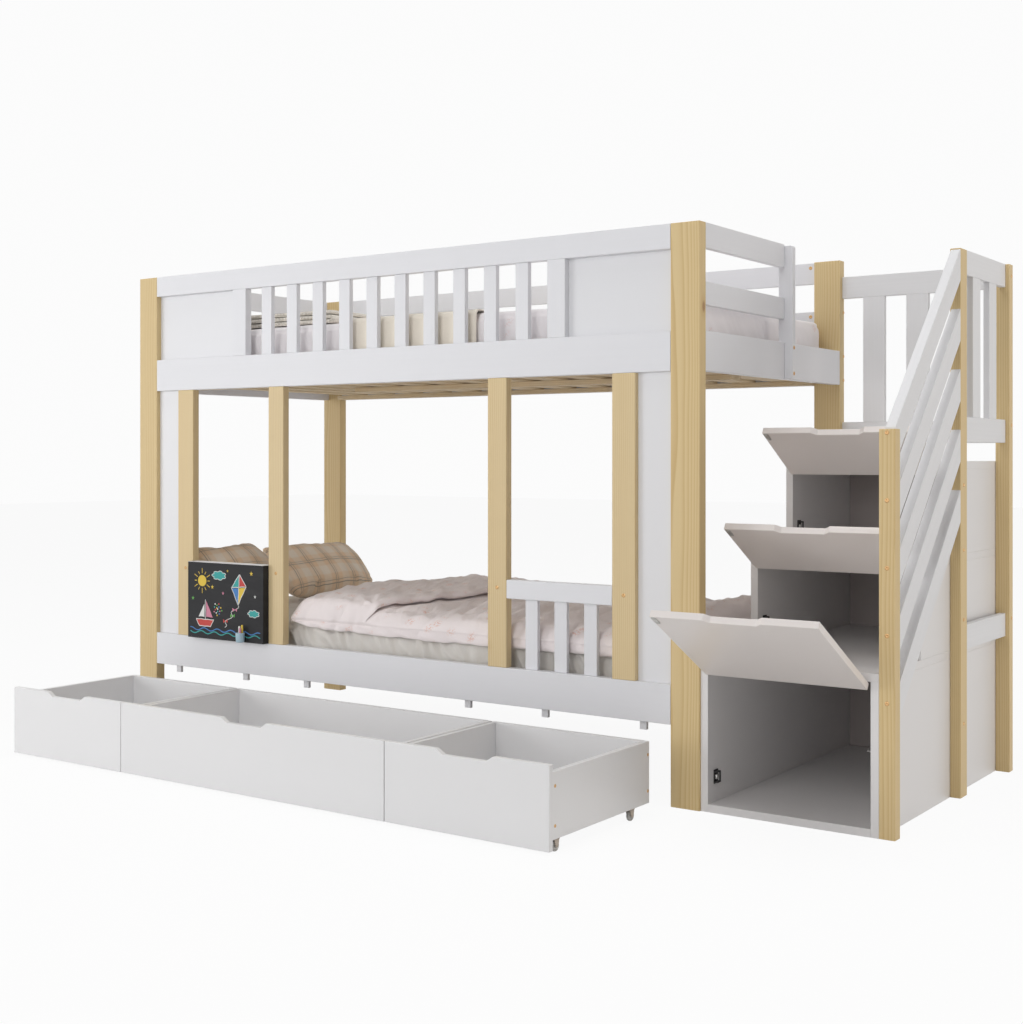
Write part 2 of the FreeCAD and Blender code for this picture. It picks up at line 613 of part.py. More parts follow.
def make_drawer(name, start, end):
    """Front, box, caster forks and wheels of one drawer, stored pulled out."""
    front_y = FRONT - DRAWER_PULL
    panel_y = span(front_y, DRAWER_FRONT_THICKNESS)
    panel = block((start, end), panel_y, (DRAWER_FRONT_BOTTOM, DRAWER_FRONT_TOP))
    centre = (start + end) / 2
    cutter = notch(centre, DRAWER_FRONT_TOP, DRAWER_NOTCH_DEPTH, DRAWER_NOTCH_WIDTH, DRAWER_NOTCH_SLANT,
                   front_y, DRAWER_FRONT_THICKNESS, False)
    save(name + "_front", [panel.cut(cutter)])

    z = (DRAWER_WALL_BOTTOM, DRAWER_WALL_TOP)
    box_y = (panel_y[1], front_y + DRAWER_DEPTH)
    left_wall = span(start + DRAWER_WALL_INSET, DRAWER_WALL_THICKNESS)
    right_wall = (end - DRAWER_WALL_INSET - DRAWER_WALL_THICKNESS, end - DRAWER_WALL_INSET)
    inside = (left_wall[1], right_wall[0])
    back_y = (box_y[1] - DRAWER_WALL_THICKNESS, box_y[1])
    save(name + "_box", [
        block(left_wall, box_y, z),
        block(right_wall, box_y, z),
        block(inside, back_y, z),
        block(inside, (box_y[0], back_y[0]), span(DRAWER_FLOOR_BOTTOM, DRAWER_FLOOR_THICKNESS)),
    ])

    front_pair, rear_pair = wheel_places(start, end)
    save(name + "_caster_forks", [caster_fork(x, y) for x, y in front_pair + rear_pair])
    save(name + "_front_wheels", [wheel(x, y) for x, y in front_pair])
    save(name + "_rear_wheels", [wheel(x, y) for x, y in rear_pair])


def make_drawer_stops():
    """Tabs under the lower front rail that stop each drawer's front when it closes."""
    y = (FRONT + DRAWER_FRONT_THICKNESS + STOP_CLEARANCE, FRONT_RAIL_BACK)
    z = (LOWER_RAIL_BOTTOM - STOP_HEIGHT, LOWER_RAIL_BOTTOM)
    stops = []
    for name, start, end in drawer_spans():
        inset = WIDE_STOP_INSET if name == "centre_drawer" else NARROW_STOP_INSET
        for centre in (start + inset, end - inset):
            stops.append(block(span(centre - STOP_SIZE / 2, STOP_SIZE), y, z))
    save("drawer_stops", stops)


# ---------------------------------------------------------------- fasteners

def bolt(x, y, z, direction):
    """A low round bolt head seated on a face that looks along a direction."""
    return Part.makeCylinder(BOLT_RADIUS, BOLT_HEAD_HEIGHT, Vector(x, y, z), direction)


def make_bolt_heads():
    """Bolt heads on the posts where the rails, boards and guards are bolted on."""
    towards_front = Vector(0, -1, 0)
    heads = []
    for x, width in window_posts():
        heads.append(bolt(x + width / 2, FRONT, WINDOW_BOLT_HEIGHT, towards_front))

    corner_y = BACK - CORNER_BOLT_EDGE
    guard_level = GUARD_MIDDLE_TOP - CORNER_BOLT_EDGE
    for z in (guard_level, UPPER_RAIL_TOP - RAIL_BOLT_EDGE, UPPER_RAIL_BOTTOM + RAIL_BOLT_EDGE):
        heads.append(bolt(RIGHT, corner_y, z, X_AXIS))

    for z in (POST_HEIGHT - RAIL_BOLT_EDGE, GUARD_MIDDLE_TOP - RAIL_BOLT_EDGE):
        heads.append(bolt(INNER_RIGHT - REAR_BOLT_INSET, BACK - END_GUARD_THICKNESS, z, towards_front))

    entry_x = RIGHT - END_GUARD_THICKNESS + ENTRY_POST_WIDTH
    entry_y = INNER_FRONT + ENTRY_POST_DISTANCE + ENTRY_POST_THICKNESS / 2
    for z in (UPPER_RAIL_TOP - RAIL_BOLT_EDGE, UPPER_RAIL_BOTTOM + RAIL_BOLT_EDGE):
        heads.append(bolt(entry_x, entry_y, z, X_AXIS))

    front_x = CABINET_RIGHT + STAIR_POST_WIDTH / 2
    for index in range(DIAGONAL_COUNT):
        heads.append(bolt(front_x, CABINET_FRONT, diagonal_bolt_height(index), towards_front))

    middle_y = (MIDDLE_POST_FRONT + MIDDLE_POST_BACK) / 2
    for z in (TREAD_TOPS[2] - STEP_RISE / 4, TREAD_TOPS[1] + RAIL_BOLT_EDGE,
              FIRST_TREAD_TOP + STAIR_BAND_HEIGHT + RAIL_BOLT_EDGE, FIRST_TREAD_TOP / 2):
        heads.append(bolt(MIDDLE_POST_RIGHT, middle_y, z, X_AXIS))

    back_y = BACK - STAIR_POST_DEPTH / 3
    lower_rail_top = STAIR_LOWER_RAIL_BOTTOM + STAIR_RAIL_HEIGHT
    band_top = FIRST_TREAD_TOP + STAIR_BAND_HEIGHT
    top_rail_middle = STAIR_HEIGHT - STAIR_RAIL_HEIGHT / 2
    for z in (top_rail_middle, lower_rail_top - RAIL_BOLT_EDGE, band_top - RAIL_BOLT_EDGE):
        heads.append(bolt(STAIR_RIGHT, back_y, z, X_AXIS))
    save("bolt_heads", heads)


# ---------------------------------------------------------------- bedding

def outline(corners, bulges):
    """A closed wire through corners, where each side is a line or, with a bulge, an arc.

    A bulge is the vector from the middle of the side to the middle of its arc.
    """
    edges = []
    for index, start in enumerate(corners):
        end = corners[(index + 1) % len(corners)]
        bulge = bulges[index]
        if bulge is None:
            edges.append(Part.LineSegment(start, end).toShape())
        else:
            edges.append(Part.Arc(start, (start + end) * 0.5 + bulge, end).toShape())
    return Part.Wire(edges)


def mattress(bottom, thickness):
    """A mattress with a crowned top edge and sides drawn in towards top and bottom."""
    x = (RIGHT + LEFT - MATTRESS_LENGTH) / 2
    y = (FRONT + BACK - MATTRESS_WIDTH) / 2
    sections = []
    levels = (
        (0.0, MATTRESS_EDGE_DRAW),
        (MATTRESS_EDGE_BAND, 0.0),
        (thickness - MATTRESS_EDGE_BAND, 0.0),
        (thickness, MATTRESS_EDGE_DRAW),
    )
    for height, inset in levels:
        z = bottom + height
        corners = [
            Vector(x + inset, y + inset, z),
            Vector(x + MATTRESS_LENGTH - inset, y + inset, z),
            Vector(x + MATTRESS_LENGTH - inset, y + MATTRESS_WIDTH - inset, z),
            Vector(x + inset, y + MATTRESS_WIDTH - inset, z),
        ]
        sections.append(outline(corners, [None] * 4))
    return Part.makeLoft(sections, True, True)


def bed_top(rail_bottom):
    """The height of the slats' upper faces in one bunk."""
    return rail_bottom + LEDGER_HEIGHT + SLAT_THICKNESS


def make_upper_bedding():
    """Upper mattress, the blanket folded across it and the knitted throw at its head."""
    bottom = bed_top(UPPER_RAIL_BOTTOM) + SOFT_GAP
    top = bottom + UPPER_MATTRESS_THICKNESS
    save("upper_mattress", [mattress(bottom, UPPER_MATTRESS_THICKNESS)])

    y = (FRONT + BACK - MATTRESS_WIDTH) / 2
    x = span(LEFT + BLANKET_START, BLANKET_LENGTH)
    inner = (y - SOFT_GAP, y + MATTRESS_WIDTH + SOFT_GAP)
    outer = (inner[0] - BLANKET_THICKNESS, inner[1] + BLANKET_THICKNESS)
    cover_z = span(top + SOFT_GAP, BLANKET_THICKNESS)
    hang_z = (top - BLANKET_DROP, cover_z[0])
    cover = block(x, outer, cover_z)
    falls = [block(x, (outer[0], inner[0]), hang_z), block(x, (inner[1], outer[1]), hang_z)]
    save("upper_blanket", [cover.fuse(falls).removeSplitter()])

    centre = (FRONT + BACK) / 2
    throw_y = span(centre - THROW_WIDTH / 2, THROW_WIDTH)
    throw_z = span(top + SOFT_GAP, THROW_THICKNESS)
    throw = block(span(LEFT + THROW_START, THROW_LENGTH), throw_y, throw_z)
    save("knitted_throw", [soften(throw, THROW_THICKNESS / 3, Y_AXIS)])


def duvet(bottom):
    """A crowned duvet, thicker where its head is folded back, with a fall at the front edge."""
    inner = (FRONT + BACK - MATTRESS_WIDTH) / 2 - SOFT_GAP
    y = (inner - DUVET_FALL_THICKNESS, (FRONT + BACK + DUVET_WIDTH) / 2)
    start = LEFT + DUVET_START
    stations = (
        (0.0, DUVET_HEAD_SHARE),
        (DUVET_ROLL, 1.0),
        (DUVET_FOLD_LENGTH, 1.0),
        (DUVET_FOLD_LENGTH + DUVET_ROLL, DUVET_PLAIN_SHARE),
        (DUVET_LENGTH, 1.0),
    )
    sections = []
    for distance, share in stations:
        x = start + distance
        side = DUVET_CROWN * DUVET_SIDE_SHARE * share
        rise = DUVET_CROWN * share - side
        corners = [
            Vector(x, y[0], bottom),
            Vector(x, y[1], bottom),
            Vector(x, y[1], bottom + side),
            Vector(x, y[0], bottom + side),
        ]
        sections.append(outline(corners, [None, None, Vector(0, 0, rise), None]))
    body = Part.makeLoft(sections, True, True)
    fall_z = (bottom - DUVET_FALL, bottom + DUVET_FALL_THICKNESS)
    fall = block((start + DUVET_ROLL, start + DUVET_LENGTH), (y[0], inner), fall_z)
    return body.fuse(fall).removeSplitter()


def pillow(y, width, lean, bottom):
    """A pillow of arcs, thick in the middle and thin at its rim, leaning on the end rail."""
    half = PILLOW_THICKNESS / 2
    rim = PILLOW_THICKNESS / 10
    sections = []
    for share, fullness in ((0.0, 0.25), (0.25, 0.85), (0.5, 1.0), (0.75, 0.85), (1.0, 0.25)):
        place = y + width * share
        crown = Vector(half * fullness - rim, 0, 0)
        corners = [
            Vector(-rim, place, 0),
            Vector(rim, place, 0),
            Vector(rim, place, PILLOW_HEIGHT),
            Vector(-rim, place, PILLOW_HEIGHT),
        ]
        sections.append(outline(corners, [None, crown, None, crown * -1]))
    shape = Part.makeLoft(sections, True, False)
    shape.rotate(Vector(0, 0, 0), Y_AXIS, -lean)
    foot = shape.optimalBoundingBox()
    shape.translate(Vector(LEFT + PILLOW_FOOT - foot.XMax, 0, bottom - foot.ZMin))
    return shape


def make_lower_bedding():
    """Lower mattress, the duvet on it and the two pillows at its head."""
    bottom = bed_top(LOWER_RAIL_BOTTOM) + SOFT_GAP
    top = bottom + LOWER_MATTRESS_THICKNESS
    save("lower_mattress", [mattress(bottom, LOWER_MATTRESS_THICKNESS)])
    save("lower_duvet", [duvet(top + SOFT_GAP)])
    y = (FRONT + BACK - PILLOW_SPAN) / 2
    pillows = []
    for width, lean in zip(PILLOW_WIDTHS, PILLOW_LEANS):
        pillows.append(pillow(y, width, lean, top + SOFT_GAP))
        y += width + PILLOW_GAP
    save("lower_pillows", pillows)


def main():
    """Build every node of the bunk bed."""
    os.makedirs("parts", exist_ok=True)
    make_posts()
    make_side_rails("upper", UPPER_RAIL_BOTTOM)
    make_side_rails("lower", LOWER_RAIL_BOTTOM)
    make_front_guard()
    make_rear_and_end_guards()
    make_entry_post()
    make_lower_front()
    make_chalkboard()
    make_ledgers()
    make_slats("upper", UPPER_RAIL_BOTTOM)
    make_slats("lower", LOWER_RAIL_BOTTOM)
    make_stair_posts()
    make_cabinets()
    make_stair_guards()
    make_flaps()
    for name, start, end in drawer_spans():
        make_drawer(name, start, end)
    make_drawer_stops()
    make_bolt_heads()
    make_upper_bedding()
    make_lower_bedding()


main()
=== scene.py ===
import json
import logging
import math
from collections.abc import Callable, Sequence
from dataclasses import dataclass
from enum import Enum

import bmesh
import bpy
import numpy as np
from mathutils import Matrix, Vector


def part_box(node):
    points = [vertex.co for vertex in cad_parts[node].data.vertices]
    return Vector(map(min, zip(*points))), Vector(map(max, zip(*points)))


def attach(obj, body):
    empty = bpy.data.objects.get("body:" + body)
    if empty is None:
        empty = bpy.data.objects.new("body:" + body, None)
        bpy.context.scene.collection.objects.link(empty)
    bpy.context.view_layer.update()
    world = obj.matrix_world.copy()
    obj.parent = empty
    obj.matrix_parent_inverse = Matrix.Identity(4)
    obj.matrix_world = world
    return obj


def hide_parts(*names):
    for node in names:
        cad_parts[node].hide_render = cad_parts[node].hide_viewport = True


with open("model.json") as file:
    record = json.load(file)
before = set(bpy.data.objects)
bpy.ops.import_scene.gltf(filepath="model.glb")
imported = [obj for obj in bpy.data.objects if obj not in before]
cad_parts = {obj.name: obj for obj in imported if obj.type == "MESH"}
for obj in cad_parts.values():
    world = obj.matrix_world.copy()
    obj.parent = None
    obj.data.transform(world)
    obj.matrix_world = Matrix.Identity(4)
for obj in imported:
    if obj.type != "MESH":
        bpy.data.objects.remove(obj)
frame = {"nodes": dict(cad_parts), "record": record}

# Finishes, eased boards, soft goods, fittings and the studio for a bunk bed with storage stairs.
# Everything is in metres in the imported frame: +X towards the stairs, +Y to the back, +Z up.

log = logging.getLogger("bunk_bed")
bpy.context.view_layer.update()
ROOT = "bed_and_stairs"
BEHAVIOUR = frame["record"]["behaviour"]
SLOTS = {part["node"]: part["material_slot"] for part in frame["record"]["subparts"]}
BODIES = {node: body for body, nodes in BEHAVIOUR["bodies"].items() for node in nodes}
Colour = tuple[float, float, float]


# ---------------------------------------------------------------- shader maths

class Value:
    """One shader socket. Arithmetic on it adds Math nodes to its graph."""

    def __init__(self, graph: "Graph", socket: bpy.types.NodeSocket) -> None:
        """Keeps the graph and the socket."""
        self.graph = graph
        self.socket = socket

    def _math(self, operation: str, *terms: "Value | float") -> "Value":
        """Adds one Math node over the terms."""
        return self.graph.node("ShaderNodeMath", dict(enumerate(terms)), operation=operation)

    def __add__(self, other: "Value | float") -> "Value":
        """Sum."""
        return self._math("ADD", self, other)

    __radd__ = __add__

    def __sub__(self, other: "Value | float") -> "Value":
        """Difference."""
        return self._math("SUBTRACT", self, other)

    def __rsub__(self, other: float) -> "Value":
        """Difference with the number first."""
        return self._math("SUBTRACT", other, self)

    def __mul__(self, other: "Value | float") -> "Value":
        """Product."""
        return self._math("MULTIPLY", self, other)

    __rmul__ = __mul__

    def __truediv__(self, other: "Value | float") -> "Value":
        """Quotient."""
        return self._math("DIVIDE", self, other)

    def __pow__(self, other: "Value | float") -> "Value":
        """Power."""
        return self._math("POWER", self, other)

    def fraction(self) -> "Value":
        """The part after the decimal point."""
        return self._math("FRACT", self)

    def absolute(self) -> "Value":
        """The size without its sign."""
        return self._math("ABSOLUTE", self)

    def sine(self) -> "Value":
        """The sine of an angle in radians."""
        return self._math("SINE", self)

    def highest(self, other: "Value | float") -> "Value":
        """The larger of the two."""
        return self._math("MAXIMUM", self, other)

    def lowest(self, other: "Value | float") -> "Value":
        """The smaller of the two."""
        return self._math("MINIMUM", self, other)

    def smooth(self, low: float, high: float) -> "Value":
        """A soft step from 0 at low to 1 at high, or the reverse where low is above high."""
        step = self.graph.node(
            "ShaderNodeMapRange",
            {"Value": self, "From Min": min(low, high), "From Max": max(low, high)},
            interpolation_type="SMOOTHSTEP",
        )
        return step if low < high else 1.0 - step

    def sibling(self, name: str) -> "Value":
        """Another output of the node that this value comes from."""
        return Value(self.graph, self.socket.node.outputs[name])


class Graph:
    """The node tree of one material."""

    def __init__(self, name: str) -> None:
        """Makes an empty material with nodes."""
        self.material = bpy.data.materials.new(name)
        self.material.use_nodes = True
        self.tree = self.material.node_tree
        self.tree.nodes.clear()

    def node(
        self,
        kind: str,
        sockets: dict[str | int, object] | None = None,
        output: str | int = 0,
        **settings: object,
    ) -> Value:
        """Adds one node.

        Args:
            kind: the node's type name.
            sockets: values or links for its sockets, by name, identifier or place.
            output: the output to return.
            **settings: the node's own settings, which are set first; stops fills a colour ramp.

        Returns:
            The chosen output.
        """
        made = self.tree.nodes.new(kind)
        stops = settings.pop("stops", None)
        for key, value in settings.items():
            setattr(made, key, value)
        if stops is not None:
            elements = made.color_ramp.elements
            while len(elements) < len(stops):
                elements.new(0.5)
            for element, (place, colour) in zip(elements, stops):
                element.position = place
                element.color = (*colour, 1.0)
        for key, value in (sockets or {}).items():
            socket = self._socket(made.inputs, key)
            if isinstance(value, Value):
                self.tree.links.new(value.socket, socket)
            elif isinstance(value, tuple) and socket.type == "RGBA" and len(value) == 3:
                socket.default_value = (*value, 1.0)
            else:
                socket.default_value = value
        return Value(self, self._socket(made.outputs, output))

    @staticmethod
    def _socket(sockets: Sequence[bpy.types.NodeSocket], key: str | int) -> bpy.types.NodeSocket:
        """Finds a socket by place, by identifier or by name."""
        if isinstance(key, int):
            return sockets[key]
        for socket in sockets:
            if socket.identifier == key:
                return socket
        return sockets[key]

    def place(self) -> Value:
        """The place on the piece, in metres."""
        return self.node("ShaderNodeTexCoord", output="Object")

    def attribute(self, name: str, output: str = "Vector") -> Value:
        """A value that the mesh carries."""
        return self.node("ShaderNodeAttribute", output=output, attribute_name=name)

    def scaled(self, vector: Value, factors: Colour, offset: Colour = (0.0, 0.0, 0.0)) -> Value:
        """A vector with each axis multiplied and moved."""
        return self.node(
            "ShaderNodeVectorMath", {0: vector, 1: factors, 2: offset}, operation="MULTIPLY_ADD"
        )

    def turned(self, vector: Value, angles: Colour) -> Value:
        """A vector turned by angles about X, Y and Z."""
        sockets = {"Vector": vector, "Rotation": angles}
        return self.node("ShaderNodeMapping", sockets, vector_type="POINT")

    def parts(self, vector: Value) -> tuple[Value, Value, Value]:
        """The three numbers of a vector."""
        first = self.node("ShaderNodeSeparateXYZ", {0: vector})
        return first, first.sibling("Y"), first.sibling("Z")

    def noise(self, vector: Value, scale: float, detail: float = 2.0, rough: float = 0.5) -> Value:
        """Cloudy noise from 0 to 1."""
        sockets = {"Vector": vector, "Scale": scale, "Detail": detail, "Roughness": rough}
        return self.node("ShaderNodeTexNoise", sockets)

    def cells(self, vector: Value, scale: float, spread: float = 1.0) -> Value:
        """Distance to the nearest of a field of scattered points."""
        sockets = {"Vector": vector, "Scale": scale, "Randomness": spread}
        return self.node("ShaderNodeTexVoronoi", sockets, output="Distance")

    def mix(self, factor: Value | float, first: Value | Colour, second: Value | Colour) -> Value:
        """A colour between two colours."""
        sockets = {"Factor_Float": factor, "A_Color": first, "B_Color": second}
        return self.node("ShaderNodeMix", sockets, output="Result_Color", data_type="RGBA")

    def shade(self, colour: Value | Colour, level: Value) -> Value:
        """A colour made lighter or darker by a level near 1."""
        grey = self.node("ShaderNodeCombineXYZ", {0: level, 1: level, 2: level})
        sockets = {"Factor_Float": 1.0, "A_Color": colour, "B_Color": grey}
        return self.node(
            "ShaderNodeMix", sockets, "Result_Color", data_type="RGBA", blend_type="MULTIPLY"
        )

    def bump(self, height: Value, depth: float, strength: float = 1.0) -> Value:
        """A surface direction from a height of 0 to 1 over a depth in metres."""
        return self.node(
            "ShaderNodeBump", {"Height": height, "Distance": depth, "Strength": strength}
        )

    def finish(self, **sockets: object) -> None:
        """Ends the graph in a Principled shader; sockets are named with _ for a space."""
        named = {key.replace("_", " "): value for key, value in sockets.items()}
        shader = self.node("ShaderNodeBsdfPrincipled", named)
        self.node_output(shader)

    def node_output(self, shader: Value) -> None:
        """Joins a shader to the material's output."""
        end = self.tree.nodes.new("ShaderNodeOutputMaterial")
        self.tree.links.new(shader.socket, end.inputs["Surface"])


# ---------------------------------------------------------------- finishes

_materials: dict[object, bpy.types.Material] = {}


def material_of(finish: object) -> bpy.types.Material:
    """The material of a finish, built once."""
    if finish not in _materials:
        graph = Graph(finish.name)
        finish.build(graph)
        _materials[finish] = graph.material
    return _materials[finish]


@dataclass(frozen=True)
class Lacquer:
    """Satin white paint on a board, with a trace of the grain under it."""

    name: str
    colour: Colour = (0.80, 0.795, 0.815)
    grain: float = 0.5
    roughness: float = 0.36
    # A rear colour, where one is given, darkens the back of the piece along Y: painted shade.
    rear: Colour | None = None
    rear_shade_from: float = 0.945

    def build(self, graph: Graph) -> None:
        """Builds the nodes in a graph; towards the back along Y the paint takes the rear colour, which
        is painted shade.
        """
        along = graph.attribute("grain")
        tone = graph.attribute("tone", "Fac")
        streak = graph.noise(graph.scaled(along, (2.5, 120.0, 120.0)), 1.0, 3.0, 0.6)
        wide = graph.noise(graph.scaled(along, (0.8, 22.0, 22.0)), 1.0, 2.0)
        cloud = graph.noise(graph.place(), 3.0, 2.0)
        peel = graph.noise(graph.place(), 420.0, 2.0)
        level = 1.0 - 0.075 * self.grain * (streak - 0.5) - 0.05 * self.grain * (wide - 0.5)
        level = level + 0.022 * (tone - 0.5) + 0.018 * (cloud - 0.5)
        height = 0.6 * self.grain * streak + 0.5 * peel
        colour = self.colour
        if self.rear:
            # The back of the piece takes the darker rear colour: painted shade of the deep compartments.
            deep = graph.parts(graph.place())[1]
            rear_shade_mask = deep.smooth(self.rear_shade_from, self.rear_shade_from + 0.004)
            colour = graph.mix(rear_shade_mask, self.colour, self.rear)
        graph.finish(
            Base_Color=graph.shade(colour, level),
            Roughness=self.roughness + 0.10 * cloud + 0.06 * self.grain * streak,
            Specular_IOR_Level=0.5,
            Normal=graph.bump(height, 0.00012, 0.5),
        )


@dataclass(frozen=True)
class Pine:
    """Lacquered pine: growth rings cut by the board, fine fibres and a rare knot."""

    name: str
    pale: Colour = (0.735, 0.57, 0.31)
    late: Colour = (0.585, 0.39, 0.16)
    knot: Colour = (0.36, 0.19, 0.08)
    ring: float = 0.0046
    wander: float = 0.020
    strength: float = 0.74
    roughness: float = 0.40

    def build(self, graph: Graph) -> None:
        """Builds the nodes. Rings: fraction((distance from the heart + wander) / ring width)."""
        along = graph.attribute("grain")
        tone = graph.attribute("tone", "Fac")
        _, across, deep = graph.parts(along)
        bend = graph.noise(graph.scaled(along, (1.1, 5.0, 5.0)), 1.0, 2.0)
        radius = (across * across + deep * deep) ** 0.5 + self.wander * (bend - 0.5)
        width = graph.noise(graph.scaled(along, (0.05, 24.0, 24.0)), 1.0, 1.0)
        year = (radius / self.ring + 1.3 * width).fraction()
        late = (year ** 2.2) * year.smooth(1.0, 0.93)
        fibre = graph.noise(graph.scaled(along, (9.0, 700.0, 700.0)), 1.0, 3.0, 0.7)
        band = graph.noise(graph.scaled(along, (0.5, 30.0, 30.0)), 1.0, 2.0)
        spots = graph.cells(graph.scaled(along, (5.0, 9.0, 9.0)), 1.0, 1.0)
        rare = graph.parts(spots.sibling("Color"))[0].smooth(0.86, 0.90)
        eye = rare * spots.smooth(0.10, 0.045)
        halo = rare * spots.smooth(0.22, 0.08)
        amount = self.strength * late + 0.30 * (band - 0.5) + 0.16 * (tone - 0.5) + 0.35 * halo
        wood = graph.mix(amount.highest(0.0).lowest(1.0), self.pale, self.late)
        wood = graph.mix(0.85 * eye, wood, self.knot)
        level = 1.0 + 0.10 * (fibre - 0.5) + 0.05 * (tone - 0.5)
        graph.finish(
            Base_Color=graph.shade(wood, level),
            Roughness=self.roughness + 0.12 * fibre,
            Specular_IOR_Level=0.3,
            Normal=graph.bump(0.5 * late + 0.5 * fibre, 0.00018, 0.45),
        )


@dataclass(frozen=True)
class Plating:
    """Dull plated metal with rubbed spots."""

    name: str
    colour: Colour
    roughness: float = 0.38

    def build(self, graph: Graph) -> None:
        """Builds the nodes in a graph."""
        rub = graph.noise(graph.place(), 260.0, 3.0)
        cloud = graph.noise(graph.place(), 60.0, 2.0)
        graph.finish(
            Base_Color=graph.shade(self.colour, 0.86 + 0.3 * cloud),
            Metallic=0.75,
            Roughness=self.roughness + 0.18 * (rub - 0.5),
            Normal=graph.bump(rub, 0.00008, 0.4),
        )


@dataclass(frozen=True)
class Moulded:
    """Moulded plastic with a faint cloud in it."""

    name: str
    colour: Colour
    roughness: float = 0.3

    def build(self, graph: Graph) -> None:
        """Builds the nodes in a graph."""
        cloud = graph.noise(graph.place(), 90.0, 2.0)
        skin = graph.noise(graph.place(), 900.0, 1.0)
        graph.finish(
            Base_Color=graph.shade(self.colour, 0.93 + 0.14 * cloud),
            Roughness=self.roughness + 0.12 * cloud,
            Normal=graph.bump(skin, 0.00004, 0.3),
        )


@dataclass(frozen=True)
class Slate:
    """Matte black writing surface with the ghost of wiped chalk."""

    name: str
    colour: Colour = (0.012, 0.012, 0.014)

    def build(self, graph: Graph) -> None:
        """Builds the nodes in a graph."""
        wiped = graph.noise(graph.scaled(graph.place(), (5.0, 5.0, 14.0)), 1.0, 4.0, 0.6)
        grit = graph.noise(graph.place(), 1500.0, 1.0)
        graph.finish(
            Base_Color=graph.mix(0.020 * wiped.smooth(0.45, 0.8), self.colour, (0.8, 0.8, 0.8)),
            Roughness=0.58 + 0.15 * wiped,
            Specular_IOR_Level=0.35,
            Normal=graph.bump(grit, 0.00006, 0.4),
        )


@dataclass(frozen=True)
class Chalk:
    """Chalk or paint laid on in a broken line."""

    name: str
    colour: Colour

    def build(self, graph: Graph) -> None:
        """Builds the nodes in a graph."""
        grit = graph.noise(graph.place(), 700.0, 3.0, 0.7)
        graph.finish(
            Base_Color=graph.shade(self.colour, 0.80 + 0.35 * grit),
            Roughness=0.85,
            Specular_IOR_Level=0.2,
            Normal=graph.bump(grit, 0.0001, 0.4),
        )


class Print(Enum):
    """What is printed or woven into a cloth; the knit and the pucker also paint shade into their
    hollows.
    """

    PLAIN = "plain"
    BLOSSOM = "blossom"
    PLAID = "plaid"
    KNIT = "knit"
    PUCKER = "pucker"


